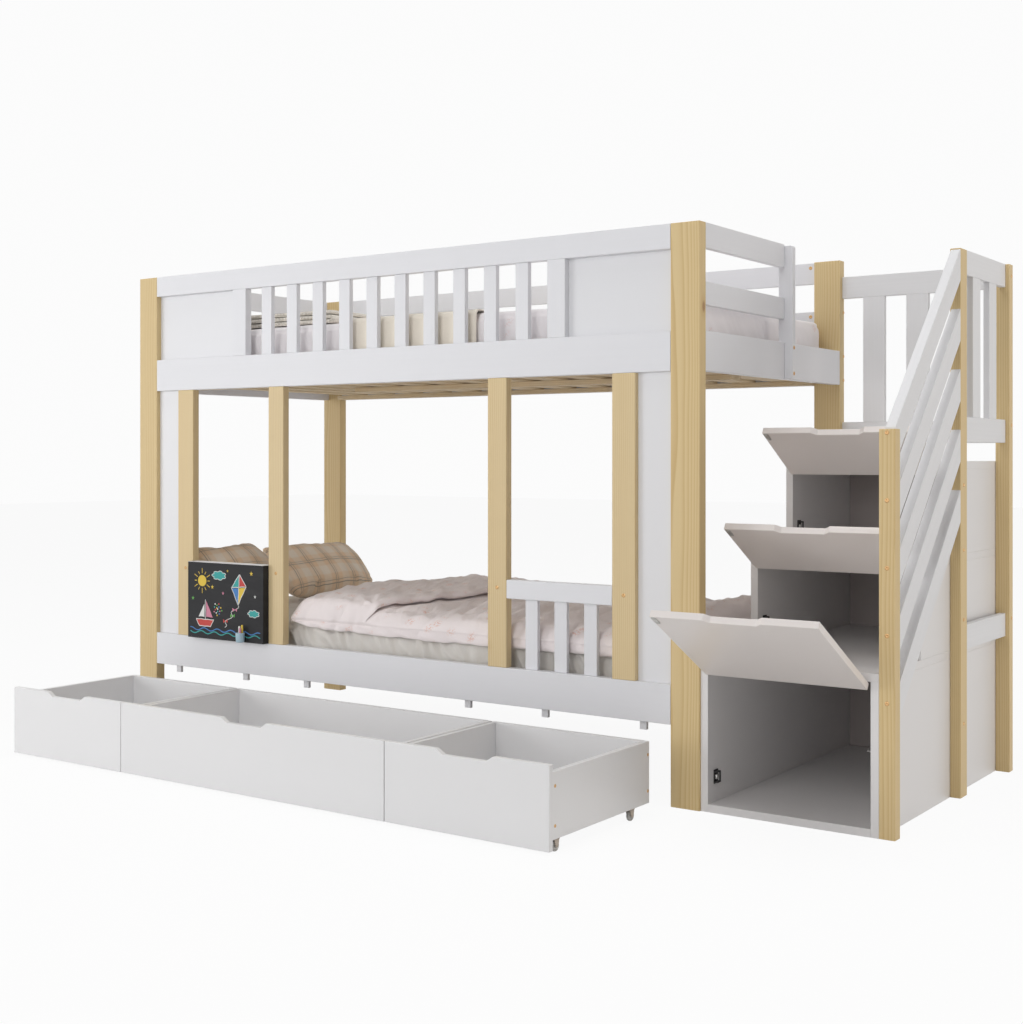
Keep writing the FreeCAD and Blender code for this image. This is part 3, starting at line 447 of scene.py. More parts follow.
@dataclass(frozen=True)
class Cloth:
    """Woven or knitted cloth with a print, soft sheen and a fine weave."""

    name: str
    colour: Colour
    second: Colour = (0.80, 0.47, 0.32)
    third: Colour = (0.20, 0.20, 0.22)
    print: Print = Print.PLAIN
    thread: float = 0.0011
    lean: float = 0.0
    sheen: float = 0.25
    strength: float = 0.45
    wrinkle: float = 0.0

    def build(self, graph: Graph) -> None:
        """Builds the nodes in a graph."""
        place = graph.place()
        weave = self._weave(graph, place)
        soft = graph.noise(place, 7.0, 3.0)
        slub = graph.noise(graph.scaled(place, (60.0, 900.0, 900.0)), 1.0, 2.0)
        if self.print is Print.BLOSSOM:
            base, relief, depth = self._blossom(graph, place), weave, 0.00025
            if self.wrinkle:
                relief, depth = 0.94 * self._wrinkles(graph, place) + 0.06 * weave, self.wrinkle
        elif self.print is Print.PLAID:
            base, relief, depth = self._plaid(graph, place), weave, 0.0004
        elif self.print is Print.KNIT:
            relief = self._knit(graph, place)
            # The darker second colour fills the hollows between stitches: painted shade.
            base, depth = graph.mix(relief.smooth(0.0, 0.8), self.second, self.colour), 0.0045
        elif self.print is Print.PUCKER:
            # The darker second colour fills the puckers' hollows: painted shade.
            relief = 0.8 * graph.noise(graph.scaled(place, (30.0, 30.0, 9.0)), 1.0, 3.0) + 0.2 * weave
            base, depth = graph.mix(relief.smooth(0.2, 0.65), self.second, self.colour), 0.008
        else:
            base, relief, depth = self.colour, weave, 0.0003
        level = 0.94 + 0.07 * soft + 0.05 * slub
        graph.finish(
            Base_Color=graph.shade(base, level),
            Roughness=0.80 + 0.12 * soft,
            Specular_IOR_Level=0.25,
            Sheen_Weight=self.sheen,
            Sheen_Roughness=0.45,
            Normal=graph.bump(relief, depth, 0.6),
        )

    def _weave(self, graph: Graph, place: Value) -> Value:
        """Crossed threads: the largest of |sin| along the three axes, loosened by noise."""
        x, y, z = graph.parts(place)
        turn = math.pi / self.thread
        loose = 0.8 * graph.noise(place, 120.0, 1.0)
        over = (x * turn + loose).sine().absolute()
        under = (y * turn + loose).sine().absolute()
        side = (z * turn + loose).sine().absolute()
        return (over * under + under * side + side * over) / 3.0

    @staticmethod
    def _wrinkles(graph: Graph, place: Value) -> Value:
        """Slanted creases: the ridges 1 - |2n - 1| of a noise n stretched along a diagonal."""
        turned = graph.turned(place, (0.0, 0.0, math.radians(-21)))
        bend = graph.noise(place, 6.0, 1.0)
        long_waves = graph.noise(graph.scaled(turned, (30.0, 7.0, 12.0)), 1.0, 3.0)
        ridge = 1.0 - (2.0 * long_waves - 1.0).absolute()
        return ridge * (0.45 + 0.55 * bend)

    def _blossom(self, graph: Graph, place: Value) -> Value:
        """Scattered sprigs: a lens of petals round each point of a field stretched on the slant."""
        spread = 16.0
        turned = graph.turned(place, (0.3, 0.5, math.radians(30)))
        near = graph.cells(graph.scaled(turned, (0.62, 1.25, 1.25)), spread, 0.9) / spread
        petal = graph.noise(place, 190.0, 2.0, 0.6)
        sprig = near.smooth(0.020, 0.006) * petal.smooth(0.47, 0.57)
        fade = graph.noise(place, 12.0, 1.0).smooth(0.25, 0.75)
        return graph.mix(self.strength * (0.45 + 0.55 * fade) * sprig, self.colour, self.second)

    def _plaid(self, graph: Graph, place: Value) -> Value:
        """Pale bands and fine dark double lines that cross, in the leaning cloth's own directions."""
        turned = graph.turned(place, (0.0, self.lean, 0.0))
        _, across, up = graph.parts(turned)
        drift = 0.004 * (graph.noise(place, 9.0, 1.0) - 0.5)
        repeat = 0.092
        pale = shadow = dark = None
        for coordinate in (across, up):
            step = ((coordinate + drift) / repeat).fraction()
            band = (step - 0.28).absolute().smooth(0.24, 0.16)
            broad = (step - 0.78).absolute().smooth(0.15, 0.12)
            line = (step - 0.73).absolute().smooth(0.020, 0.010)
            twin = (step - 0.83).absolute().smooth(0.017, 0.008)
            both = line.highest(0.7 * twin)
            pale = band if pale is None else pale + band
            shadow = broad if shadow is None else shadow + broad
            dark = both if dark is None else dark.highest(both)
        cloth = graph.mix(0.34 * pale, self.colour, self.second)
        cloth = graph.mix(0.07 * shadow, cloth, self.third)
        return graph.mix(0.62 * dark, cloth, self.third)

    def _knit(self, graph: Graph, place: Value) -> Value:
        """Chunky stitches: |sin(x)| times |sin(y + slanted x)| of a plaited row."""
        x, y, z = graph.parts(place)
        loose = 0.5 * graph.noise(place, 45.0, 2.0)
        column = (x * (math.pi / 0.013) + loose).sine().absolute()
        row = ((y + z) * (math.pi / 0.010) + 1.8 * column + loose).sine().absolute()
        return 0.55 * column + 0.45 * row


PAINT_FRAME = Lacquer("white_frame_paint", (0.795, 0.795, 0.822), 0.35)
PAINT_PANEL = Lacquer("white_panel_paint", (0.80, 0.80, 0.822), 0.10, 0.33)
PAINT_GUARD = Lacquer("white_guard_paint", (0.79, 0.788, 0.80), 0.9, 0.40)
PAINT_CABINET = Lacquer("white_cabinet_paint", (0.79, 0.772, 0.768), 0.10, 0.32)
# The lining's grey back is partly painted shade of the deep compartments and partly a grey back board.
PAINT_LINING_WITH_SHADE = Lacquer("cabinet_lining_paint", (0.79, 0.772, 0.768), 0.10, 0.32, (0.42, 0.375, 0.365))
# The flap paint is warmed and darkened: painted warm reflection and painted shade on the flaps' inner
# faces.
PAINT_FLAP_WITH_PAINTED_SHADE = Lacquer("white_flap_paint", (0.81, 0.758, 0.73), 0.06, 0.26)
PAINT_DRAWER = Lacquer("white_drawer_paint", (0.80, 0.795, 0.80), 0.08, 0.30)
PINE_POST = Pine("lacquered_pine_posts")
PINE_WINDOW = Pine("lacquered_pine_window_posts", (0.75, 0.60, 0.36), (0.62, 0.44, 0.21))
PINE_SLAT = Pine("planed_pine_slats", (0.76, 0.63, 0.43), (0.62, 0.45, 0.26), roughness=0.6)
BRONZE = Plating("bronze_plating", (0.60, 0.37, 0.17), 0.32)
STEEL = Plating("zinc_plating", (0.55, 0.54, 0.52), 0.34)
DARK_STEEL = Plating("blackened_catch", (0.05, 0.05, 0.05), 0.45)
CASTER_BRACKET = Moulded("caster_bracket_plastic", (0.47, 0.40, 0.33), 0.42)
CASTER_WHEEL = Moulded("caster_wheel_plastic", (0.50, 0.49, 0.47), 0.16)
SLATE = Slate("black_writing_board")
PAINT_TRIM = Lacquer("white_trim_paint", (0.80, 0.80, 0.80), 0.0)
CHALK_CUP = Moulded("chalk_cup_plastic", (0.45, 0.62, 0.72), 0.3)
UPPER_SHEET = Cloth(
    "upper_mattress_percale", (0.95, 0.91, 0.92), (0.70, 0.34, 0.27), print=Print.BLOSSOM, sheen=0.15
)
# Its second colour is the painted shade in the puckers' hollows.
LOWER_SHEET = Cloth(
    "lower_mattress_cover", (0.98, 0.945, 0.895), (0.90, 0.85, 0.785), print=Print.PUCKER
)
DUVET_PRINT = Cloth(
    "duvet_blossom_percale", (0.95, 0.872, 0.868), (0.82, 0.45, 0.34), print=Print.BLOSSOM,
    strength=0.75, wrinkle=0.008,
)
PLAID = Cloth(
    "pillow_plaid", (0.86, 0.66, 0.47), (0.95, 0.90, 0.82), (0.20, 0.19, 0.19), print=Print.PLAID,
    thread=0.0014, lean=math.radians(40),
)
BLANKET_WOOL = Cloth("blanket_wool", (0.90, 0.83, 0.72), thread=0.0022, sheen=0.5)
# Its second colour is the painted shade between the stitches.
THROW_KNIT = Cloth(
    "throw_chunky_knit", (0.90, 0.85, 0.76), (0.74, 0.67, 0.56), print=Print.KNIT, sheen=0.5
)


# ---------------------------------------------------------------- meshes

class Sketch:
    """Gathers grids of points into one mesh."""

    def __init__(self) -> None:
        """Starts empty."""
        self._points: list[np.ndarray] = []
        self._faces: list[np.ndarray] = []
        self._count = 0

    def grid(self, points: np.ndarray, round_u: bool = False, round_v: bool = False) -> "Sketch":
        """Adds quads through a grid of points.

        Args:
            points: an array of shape (rows, columns, 3), in metres.
            round_u: whether the last row joins the first.
            round_v: whether the last column joins the first.

        Returns:
            The sketch itself.
        """
        rows, columns = points.shape[:2]
        u = np.arange(rows if round_u else rows - 1)
        v = np.arange(columns if round_v else columns - 1)
        i, j = (a.ravel() for a in np.meshgrid(u, v, indexing="ij"))
        ahead, right = (i + 1) % rows, (j + 1) % columns
        corner = np.stack(
            [i * columns + j, ahead * columns + j, ahead * columns + right, i * columns + right], 1
        )
        self._faces.append(corner + self._count)
        self._points.append(points.reshape(-1, 3))
        self._count += rows * columns
        return self

    def lathe(self, profile: np.ndarray, centre: np.ndarray, axis: str, steps: int = 24) -> "Sketch":
        """Turns a profile round an axis.

        Args:
            profile: (along, radius) pairs; along is measured from the centre.
            centre: the point at along = 0.
            axis: "x", "y", "z" or one of them with "-" before it.
            steps: the number of divisions round the axis.

        Returns:
            The sketch itself. A point is centre + along * axis + radius * (cos t, sin t).
        """
        angle = np.linspace(0.0, 2.0 * math.pi, steps, endpoint=False)
        sign = -1.0 if axis.startswith("-") else 1.0
        main = "xyz".index(axis[-1])
        points = np.zeros((len(profile), steps, 3))
        points[..., main] = sign * profile[:, None, 0]
        points[..., (main + 1) % 3] = profile[:, None, 1] * np.cos(angle)[None]
        points[..., (main + 2) % 3] = profile[:, None, 1] * np.sin(angle)[None]
        return self.grid(points + centre, round_v=True)

    def ribbon(self, path: np.ndarray, width: float, y: float, closed: bool = False) -> "Sketch":
        """A flat line of one width along a path in the XZ plane at depth y.

        Each pair of points is path +- width / 2 times the path's normal.
        """
        ahead = np.roll(path, -1, 0) - np.roll(path, 1, 0)
        if not closed:
            ahead[0], ahead[-1] = path[1] - path[0], path[-1] - path[-2]
        ahead /= np.linalg.norm(ahead, axis=1)[:, None] + 1e-12
        side = np.stack([-ahead[:, 1], ahead[:, 0]], 1) * width / 2
        edges = np.stack([path + side, path - side], 1)
        points = np.stack([edges[..., 0], np.full(edges.shape[:2], y), edges[..., 1]], -1)
        return self.grid(points, round_u=closed)

    def fan(self, path: np.ndarray, y: float) -> "Sketch":
        """A filled flat shape inside a closed path in the XZ plane at depth y."""
        centre = np.broadcast_to(path.mean(0), path.shape)
        rings = np.stack([path, centre], 1)
        points = np.stack([rings[..., 0], np.full(rings.shape[:2], y), rings[..., 1]], -1)
        return self.grid(points, round_u=True)

    def block(self, low: Sequence[float], high: Sequence[float], ease: float = 0.0006) -> "Sketch":
        """A small box with eased edges: a square tube of four rings, closed at both ends."""
        low, high = np.array(low, float), np.array(high, float)
        middle, half = (low + high) / 2, (high - low) / 2
        inner = np.maximum(half - ease, half * 0.2)
        pole = inner[:2] * 0.0
        corners = np.array([[-1, -1], [1, -1], [1, 1], [-1, 1]], float)
        rings = []
        for height, reach in ((-half[2], pole), (-half[2], inner[:2]), (-inner[2], half[:2]),
                              (inner[2], half[:2]), (half[2], inner[:2]), (half[2], pole)):
            rings.append(np.column_stack([corners * reach, np.full(4, height)]))
        return self.grid(np.array(rings) + middle, round_v=True)

    def mesh(self, name: str, smooth: bool = True) -> bpy.types.Object:
        """Makes the object: doubles merged, flat poles closed, faces outwards."""
        points, faces = np.concatenate(self._points), np.concatenate(self._faces)
        data = bpy.data.meshes.new(name)
        data.from_pydata(points.tolist(), [], faces.tolist())
        tidy = bmesh.new()
        tidy.from_mesh(data)
        bmesh.ops.remove_doubles(tidy, verts=tidy.verts, dist=1e-6)
        bmesh.ops.dissolve_degenerate(tidy, dist=1e-7, edges=tidy.edges)
        bmesh.ops.recalc_face_normals(tidy, faces=tidy.faces)
        for face in tidy.faces:
            face.smooth = smooth
        tidy.to_mesh(data)
        tidy.free()
        piece = bpy.data.objects.new(name, data)
        bpy.context.scene.collection.objects.link(piece)
        return piece


def settle(
    piece: bpy.types.Object,
    finish: object,
    body: str = ROOT,
    stands_for: str = "",
    slot: str = "",
) -> bpy.types.Object:
    """Gives a piece its finish and its body, and hides the CAD node that it stands for.

    Args:
        piece: the finished piece.
        finish: what it is made of.
        body: the body that it rides on.
        stands_for: the CAD node that it replaces, if there is one.
        slot: its material slot, where it isn't that node's; not used.

    Returns:
        The piece.
    """
    piece.data.materials.clear()
    piece.data.materials.append(material_of(finish))
    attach(piece, body)
    if stands_for:
        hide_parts(stands_for)
        slot = slot or SLOTS[stands_for]
    log.info("%s rides on %s", piece.name, body)
    return piece


def waves(
    points: np.ndarray, length: float, count: int, seed: int, squeeze: Sequence[float] = (1, 1, 1)
) -> np.ndarray:
    """Smooth seeded ripples: the sum of sines of k . p + phase over random directions k, divided
    by the root of their number.

    Args:
        points: places in metres, in any array of shape (..., 3).
        length: the usual length of a wave, in metres.
        count: the number of sines.
        seed: the seed of their directions and phases.
        squeeze: how much denser the waves lie along each axis.

    Returns:
        One height for each point, about 1 at the most.
    """
    rng = np.random.default_rng(seed)
    k = rng.normal(size=(count, 3))
    k /= np.linalg.norm(k, axis=1)[:, None]
    k *= (2 * math.pi / length) * rng.uniform(0.6, 1.5, count)[:, None] * np.asarray(squeeze, float)
    phase = rng.uniform(0, 2 * math.pi, count)
    return np.sin(points @ k.T + phase).sum(-1) / math.sqrt(count)


def step(x: np.ndarray, low: float, high: float) -> np.ndarray:
    """Soft step 3t^2 - 2t^3 with t = (x - low) / (high - low), kept within 0..1."""
    t = np.clip((x - low) / (high - low), 0.0, 1.0)
    return t * t * (3.0 - 2.0 * t)


def rounded_box(low: np.ndarray, high: np.ndarray, radius: float, pitch: float) -> Sketch:
    """A box with rounded edges: p = c + clip(q, inner box) + radius * unit(q - clip(q)).

    Args:
        low: the lowest corner.
        high: the highest corner.
        radius: the radius of the edges.
        pitch: the distance between the lines of the grid.

    Returns:
        A sketch of the six sides, which meet where their points are merged.
    """
    centre, half = (low + high) / 2, (high - low) / 2
    inner = half - radius
    sketch = Sketch()
    for axis in range(3):
        first, second = (axis + 1) % 3, (axis + 2) % 3
        s = np.linspace(-half[first], half[first], max(4, int(2 * half[first] / pitch)))
        t = np.linspace(-half[second], half[second], max(4, int(2 * half[second] / pitch)))
        for sign in (-1.0, 1.0):
            q = np.zeros((len(s), len(t), 3))
            q[..., axis] = sign * half[axis]
            q[..., first], q[..., second] = s[:, None], t[None]
            core = np.clip(q, -inner, inner)
            out = q - core
            out /= np.linalg.norm(out, axis=-1, keepdims=True)
            sketch.grid(centre + core + radius * out)
    return sketch


def coordinates(piece: bpy.types.Object) -> np.ndarray:
    """The vertices of a piece as an array."""
    flat = np.empty(len(piece.data.vertices) * 3)
    piece.data.vertices.foreach_get("co", flat)
    return flat.reshape(-1, 3)


def reshape(piece: bpy.types.Object, points: np.ndarray) -> None:
    """Writes the vertices of a piece."""
    piece.data.vertices.foreach_set("co", points.ravel())
    piece.data.update()


def normals(piece: bpy.types.Object) -> np.ndarray:
    """The vertex normals of a piece as an array."""
    flat = np.empty(len(piece.data.vertices) * 3)
    piece.data.vertices.foreach_get("normal", flat)
    return flat.reshape(-1, 3)


def bake(piece: bpy.types.Object) -> None:
    """Applies every modifier of a piece."""
    graph = bpy.context.evaluated_depsgraph_get()
    made = bpy.data.meshes.new_from_object(piece.evaluated_get(graph), depsgraph=graph)
    piece.modifiers.clear()
    piece.data = made


def shade_smooth(piece: bpy.types.Object) -> None:
    """Shades every face of a piece smooth."""
    for polygon in piece.data.polygons:
        polygon.use_smooth = True


def subdivide(piece: bpy.types.Object) -> None:
    """Rounds a piece off by one level of subdivision, the same in the render."""
    modifier = piece.modifiers.new("Subdivision", "SUBSURF")
    modifier.levels = modifier.render_levels = 1
    bake(piece)
    shade_smooth(piece)


def thicken(piece: bpy.types.Object, thick: float) -> None:
    """Gives a cloth its thickness, half to each side."""
    modifier = piece.modifiers.new("Solidify", "SOLIDIFY")
    modifier.thickness, modifier.offset = thick, 0.0
    bake(piece)


def island(start: bmesh.types.BMVert) -> set[bmesh.types.BMVert]:
    """The corners that edges join to one corner, which is itself among them."""
    found, reach = set(), [start]
    while reach:
        vertex = reach.pop()
        if vertex not in found:
            found.add(vertex)
            reach.extend(edge.other_vert(vertex) for edge in vertex.link_edges)
    return found


def swell(
    piece: bpy.types.Object, voxel: float, pressure: float, cap: float, frames: int = 20
) -> None:
    """Remeshes a closed cover and fills it with air, as a stuffed piece is filled.

    Args:
        piece: the closed cover, a little smaller than the filled one.
        voxel: the remesh size, in metres.
        pressure: the cloth's inner pressure.
        cap: the furthest that a point may move; a move m becomes cap * tanh(m / cap).
        frames: the simulated frames.
    """
    remesh = piece.modifiers.new("Remesh", "REMESH")
    remesh.mode, remesh.voxel_size = "VOXEL", voxel
    bake(piece)
    before = coordinates(piece)
    cloth = piece.modifiers.new("Cloth", "CLOTH")
    cloth.settings.quality = 4
    cloth.settings.mass = 0.3
    cloth.settings.tension_stiffness = 15
    cloth.settings.compression_stiffness = 15
    cloth.settings.bending_stiffness = 0.5
    cloth.settings.use_pressure = True
    cloth.settings.uniform_pressure_force = pressure
    cloth.settings.effector_weights.gravity = 0.0
    cloth.point_cache.frame_start, cloth.point_cache.frame_end = 1, frames
    for number in range(1, frames + 1):
        bpy.context.scene.frame_set(number)
    bake(piece)
    bpy.context.scene.frame_set(1)
    move = coordinates(piece) - before
    size = np.linalg.norm(move, axis=1, keepdims=True) + 1e-9
    reshape(piece, before + move * (cap * np.tanh(size / cap) / size))
    shade_smooth(piece)


# ---------------------------------------------------------------- boards

@dataclass
class Joinery:
    """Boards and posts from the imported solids, with eased edges and a direction of grain."""

    ease: float = 0.0014
    segments: int = 2
    sharp: float = math.radians(35)

    def dress(self, node: str, finish: object, ease: float | None = None) -> bpy.types.Object:
        """Replaces one node with an eased copy.

        Args:
            node: the CAD node.
            finish: the finish of the boards.
            ease: the width of the eased edge, where it isn't the usual one.

        Returns:
            The new piece. Its points carry "grain", the place along, across and into the board
            counted from a heart outside it, and "tone", one number for each board.
        """
        source = frame["nodes"][node].data
        work = bmesh.new()
        work.from_mesh(source)
        bmesh.ops.remove_doubles(work, verts=work.verts, dist=2e-5)
        bmesh.ops.dissolve_limit(
            work, angle_limit=math.radians(1), verts=work.verts, edges=work.edges
        )
        edges = [
            e for e in work.edges if len(e.link_faces) == 2 and e.calc_face_angle() > self.sharp
        ]
        made = bmesh.ops.bevel(
            work, geom=edges, offset=self.ease if ease is None else ease,
            segments=self.segments, profile=0.5, affect="EDGES", clamp_overlap=True,
        )
        for face in made["faces"]:
            face.smooth = True
        data = bpy.data.meshes.new(node + "_eased")
        work.verts.ensure_lookup_table()
        work.verts.index_update()
        grain, tone = self._grain(work, node)
        work.to_mesh(data)
        work.free()
        places = data.attributes.new("grain", "FLOAT_VECTOR", "POINT")
        places.data.foreach_set("vector", grain.ravel())
        data.attributes.new("tone", "FLOAT", "POINT").data.foreach_set("value", tone)
        piece = bpy.data.objects.new(node + "_eased", data)
        bpy.context.scene.collection.objects.link(piece)
        return settle(piece, finish, BODIES[node], node)

    @staticmethod
    def _grain(work: bmesh.types.BMesh, node: str) -> tuple[np.ndarray, np.ndarray]:
        """The board coordinates and the tone of every corner, board by board.

        Args:
            work: the node's merged and eased mesh.
            node: the node's name, which seeds the draws.

        Returns:
            The "grain" places and the "tone" numbers, in the order of the corners.
        """
        rng = np.random.default_rng(sum(ord(c) * (i + 1) for i, c in enumerate(node)))
        grain = np.zeros((len(work.verts), 3))
        tone = np.zeros(len(work.verts))
        left = set(work.verts)
        while left:
            board = island(min(left, key=lambda v: v.index))
            left -= board
            edges = {e for v in board for e in v.link_edges}
            longest = max(edges, key=lambda e: (round(e.calc_length(), 4), -e.index))
            along = (longest.verts[1].co - longest.verts[0].co).normalized()
            faces = {f for v in board for f in v.link_faces}
            broad = max(faces, key=lambda f: (round(f.calc_area(), 5), -f.index))
            deep = broad.normal - along * broad.normal.dot(along)
            deep = deep.normalized() if deep.length > 0.1 else along.orthogonal().normalized()
            axes = np.array([along, deep.cross(along), deep])
            places = np.array([v.co for v in board])
            heart = np.array([rng.uniform(0, 9), rng.choice([-1, 1]) * rng.uniform(0.03, 0.11),
                              rng.uniform(0.05, 0.12)])
            index = [v.index for v in board]
            grain[index] = (places - places.mean(0)) @ axes.T + heart
            tone[index] = rng.uniform(0, 1)
        return grain, tone


@dataclass
class BedFrame:
    """Posts, rails, guards, slats and the front of the lower bunk."""

    joinery: Joinery

    def build(self) -> None:
        """Dresses every board of the bed."""
        for post in ("front_left_post", "front_right_post", "rear_left_post", "rear_right_post"):
            self.joinery.dress(post, PINE_POST)
        self.joinery.dress("window_posts", PINE_WINDOW, 0.0022)
        for name in ("upper_front_rail", "lower_front_rail", "upper_rear_and_end_rails",
                     "lower_rear_and_end_rails", "front_guard_top_rail", "rear_and_end_guard_rails",
                     "front_guard_balusters", "low_guard", "entry_guard_post"):
            self.joinery.dress(name, PAINT_FRAME)
        for name in ("front_guard_panels", "lower_front_panels", "drawer_stops"):
            self.joinery.dress(name, PAINT_PANEL, 0.0006)
        for name in ("upper_bed_slats", "lower_bed_slats", "slat_ledgers"):
            self.joinery.dress(name, PINE_SLAT)


@dataclass
class Stairs:
    """Cabinets, treads, posts, guards and flaps of the stairs, with their fittings."""

    joinery: Joinery
    plate_length: float = 0.036
    plate_width: float = 0.014
    plate_edge: float = 0.002
    plate_thick: float = 0.0015
    flap_thick: float = 0.018
    wall: float = 0.020
    hinge_offset: float = 0.0035
    barrel_length: float = 0.050
    barrel_radius: float = 0.0029
    leaf_thick: float = 0.0012
    leaf_height: float = 0.014

    def build(self) -> None:
        """Dresses the boards and adds the fittings."""
        for post in ("stair_front_post", "stair_middle_post", "stair_back_post"):
            self.joinery.dress(post, PINE_POST)
        for name in ("lower_cabinet_sides", "middle_cabinet_sides", "upper_cabinet_sides",
                     "lower_tread", "middle_tread", "upper_tread"):
            self.joinery.dress(name, PAINT_CABINET, 0.0008)
        self.joinery.dress("cabinet_floor_and_backs", PAINT_LINING_WITH_SHADE, 0.0008)
        for name in ("diagonal_guard_boards", "stair_side_guard", "stair_rear_guard"):
            self.joinery.dress(name, PAINT_GUARD)
        for level in ("lower", "middle", "upper"):
            self.joinery.dress(level + "_flap", PAINT_FLAP_WITH_PAINTED_SHADE, 0.0016)
            self._strike(level)
        self._hinges()
        self._catches()

    def _strike(self, level: str) -> None:
        """A small steel strike plate with two screws near one flap's free corner."""
        flap = frame["nodes"][level + "_flap"].data
        joint = next(row for row in BEHAVIOUR["joints"] if row["child"] == level + "_flap")
        pivot = np.array(joint["pos_m"])
        open_angle = math.radians(joint["range_deg"][1])
        low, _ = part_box(level + "_flap")
        reach = max(math.hypot(v.co.y - pivot[1], v.co.z - pivot[2]) for v in flap.vertices)
        along = np.array([0.0, -math.sin(open_angle), -math.cos(open_angle)])
        face = np.array([0.0, math.cos(open_angle), -math.sin(open_angle)])
        middle = reach - self.plate_edge - self.plate_length / 2
        gap = 0.0002
        corner = pivot + along * middle + face * (self.flap_thick + self.hinge_offset + gap)
        sketch = Sketch()
        centre = np.array([low.x + self.plate_edge + self.plate_width / 2, corner[1], corner[2]])
        self._plate(sketch, centre, along, face)
        for shift in (-0.011, 0.011):
            seat = centre + along * shift + face * self.plate_thick
            self._dome(sketch, seat, along, face, 0.0034)
        settle(sketch.mesh(level + "_flap_strike_plate"), STEEL, level + "_flap", slot="hinge_steel")

    def _plate(
        self, sketch: Sketch, centre: np.ndarray, along: np.ndarray, face: np.ndarray
    ) -> None:
        """A rounded plate: a superellipse |a/l|^4 + |b/w|^4 = 1 raised by its thickness.

        Args:
            sketch: where the plate is added.
            centre: the middle of its lower side.
            along: the direction of its length.
            face: the direction in which it is raised.
        """
        thick = self.plate_thick
        across = np.array([1.0, 0.0, 0.0])
        angle = np.linspace(0, 2 * math.pi, 32, endpoint=False)
        a = np.sign(np.cos(angle)) * np.abs(np.cos(angle)) ** 0.5 * self.plate_length / 2
        b = np.sign(np.sin(angle)) * np.abs(np.sin(angle)) ** 0.5 * self.plate_width / 2
        rings = []
        for scale, height in ((0.0, 0.0), (1.0, 0.0), (1.0, thick * 0.7), (0.9, thick), (0.0, thick)):
            flat = scale * (a[:, None] * along + b[:, None] * across)
            rings.append(centre + flat + height * face)
        sketch.grid(np.array(rings), round_v=True)

    @staticmethod
    def _dome(
        sketch: Sketch, centre: np.ndarray, along: np.ndarray, face: np.ndarray, radius: float
    ) -> None:
        """A screw head: rings of radius r * cos t at height r * sin t / 2.

        Args:
            sketch: where the head is added.
            centre: the middle of its seat.
            along: a direction in the seat.
            face: the direction in which it is raised.
            radius: its radius.
        """
        across = np.array([1.0, 0.0, 0.0])
        angle = np.linspace(0, 2 * math.pi, 16, endpoint=False)
        rings = []
        for t in (0.0, 0.5, 1.0, 1.35, math.pi / 2):
            ring = np.cos(angle)[:, None] * along + np.sin(angle)[:, None] * across
            rings.append(centre + radius * math.cos(t) * ring + 0.5 * radius * math.sin(t) * face)
        rings.insert(0, np.broadcast_to(centre, rings[0].shape))
        sketch.grid(np.array(rings), round_v=True)

    def _hinges(self) -> None:
        """Hinge barrels with knuckles: the barrel's radius dips at each joint between knuckles."""
        sketch = Sketch()
        for joint in BEHAVIOUR["joints"]:
            if not joint["child"].endswith("_flap"):
                continue
            low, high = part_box(joint["child"])
            pivot = np.array(joint["pos_m"])
            seat = pivot[1] + self.hinge_offset
            for start in (low.x + 0.060, high.x - 0.110):
                along = np.linspace(0.0, self.barrel_length, 61)
                knuckle = (along / self.barrel_length * 5) % 1.0
                radius = self.barrel_radius - 0.0006 * (np.abs(knuckle - 0.5) > 0.46)
                radius[[0, -1]] = 0.0
                profile = np.column_stack([along, radius])
                sketch.lathe(profile, np.array([start, pivot[1], pivot[2]]), "x", 16)
                leaf_high = [start + self.barrel_length, seat, pivot[2] + self.leaf_height]
                sketch.block([start, seat - self.leaf_thick, pivot[2]], leaf_high, 0.0003)
        settle(sketch.mesh("flap_hinge_barrels"), STEEL, ROOT, "flap_hinges")

    def _catches(self) -> None:
        """A black catch with a steel latch on the left wall and a steel stay pin on the right wall
        of each compartment.

        Each box of a catch is (low corner, high corner, edge) from the catch's own low corner.
        """
        frame_boxes = (
            ((0.0, 0.0, 0.0), (0.002, 0.022, 0.036), 0.0006),
            ((0.002, 0.002, 0.003), (0.011, 0.020, 0.007), 0.0008),
            ((0.002, 0.002, 0.029), (0.011, 0.020, 0.033), 0.0008),
            ((0.009, 0.014, 0.005), (0.011, 0.020, 0.031), 0.0006),
        )
        pin = np.array([[0, 0], [0, 0.0042], [0.0012, 0.0042], [0.0018, 0.0019],
                        [0.019, 0.0017], [0.0195, 0.0]])
        dark, pale = Sketch(), Sketch()
        floor = self.wall
        for level in ("lower", "middle", "upper"):
            low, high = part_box(level + "_cabinet_sides")
            tread_low, tread_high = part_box(level + "_tread")
            corner = np.array([low.x + self.wall, low.y + 0.032, floor + 0.046])
            for near, far, ease in frame_boxes:
                dark.block(corner + near, corner + far, ease)
            pale.block(corner + (0.002, 0.004, 0.012), corner + (0.007, 0.016, 0.024), 0.0010)
            seat = np.array([high.x - self.wall, low.y + 0.030, tread_low.z - 0.170])
            pale.lathe(pin, seat, "-x", 16)
            floor = tread_high.z
        settle(dark.mesh("flap_catches", smooth=False), DARK_STEEL, slot="hinge_steel")
        settle(pale.mesh("flap_latches_and_stay_pins"), STEEL, slot="hinge_steel")


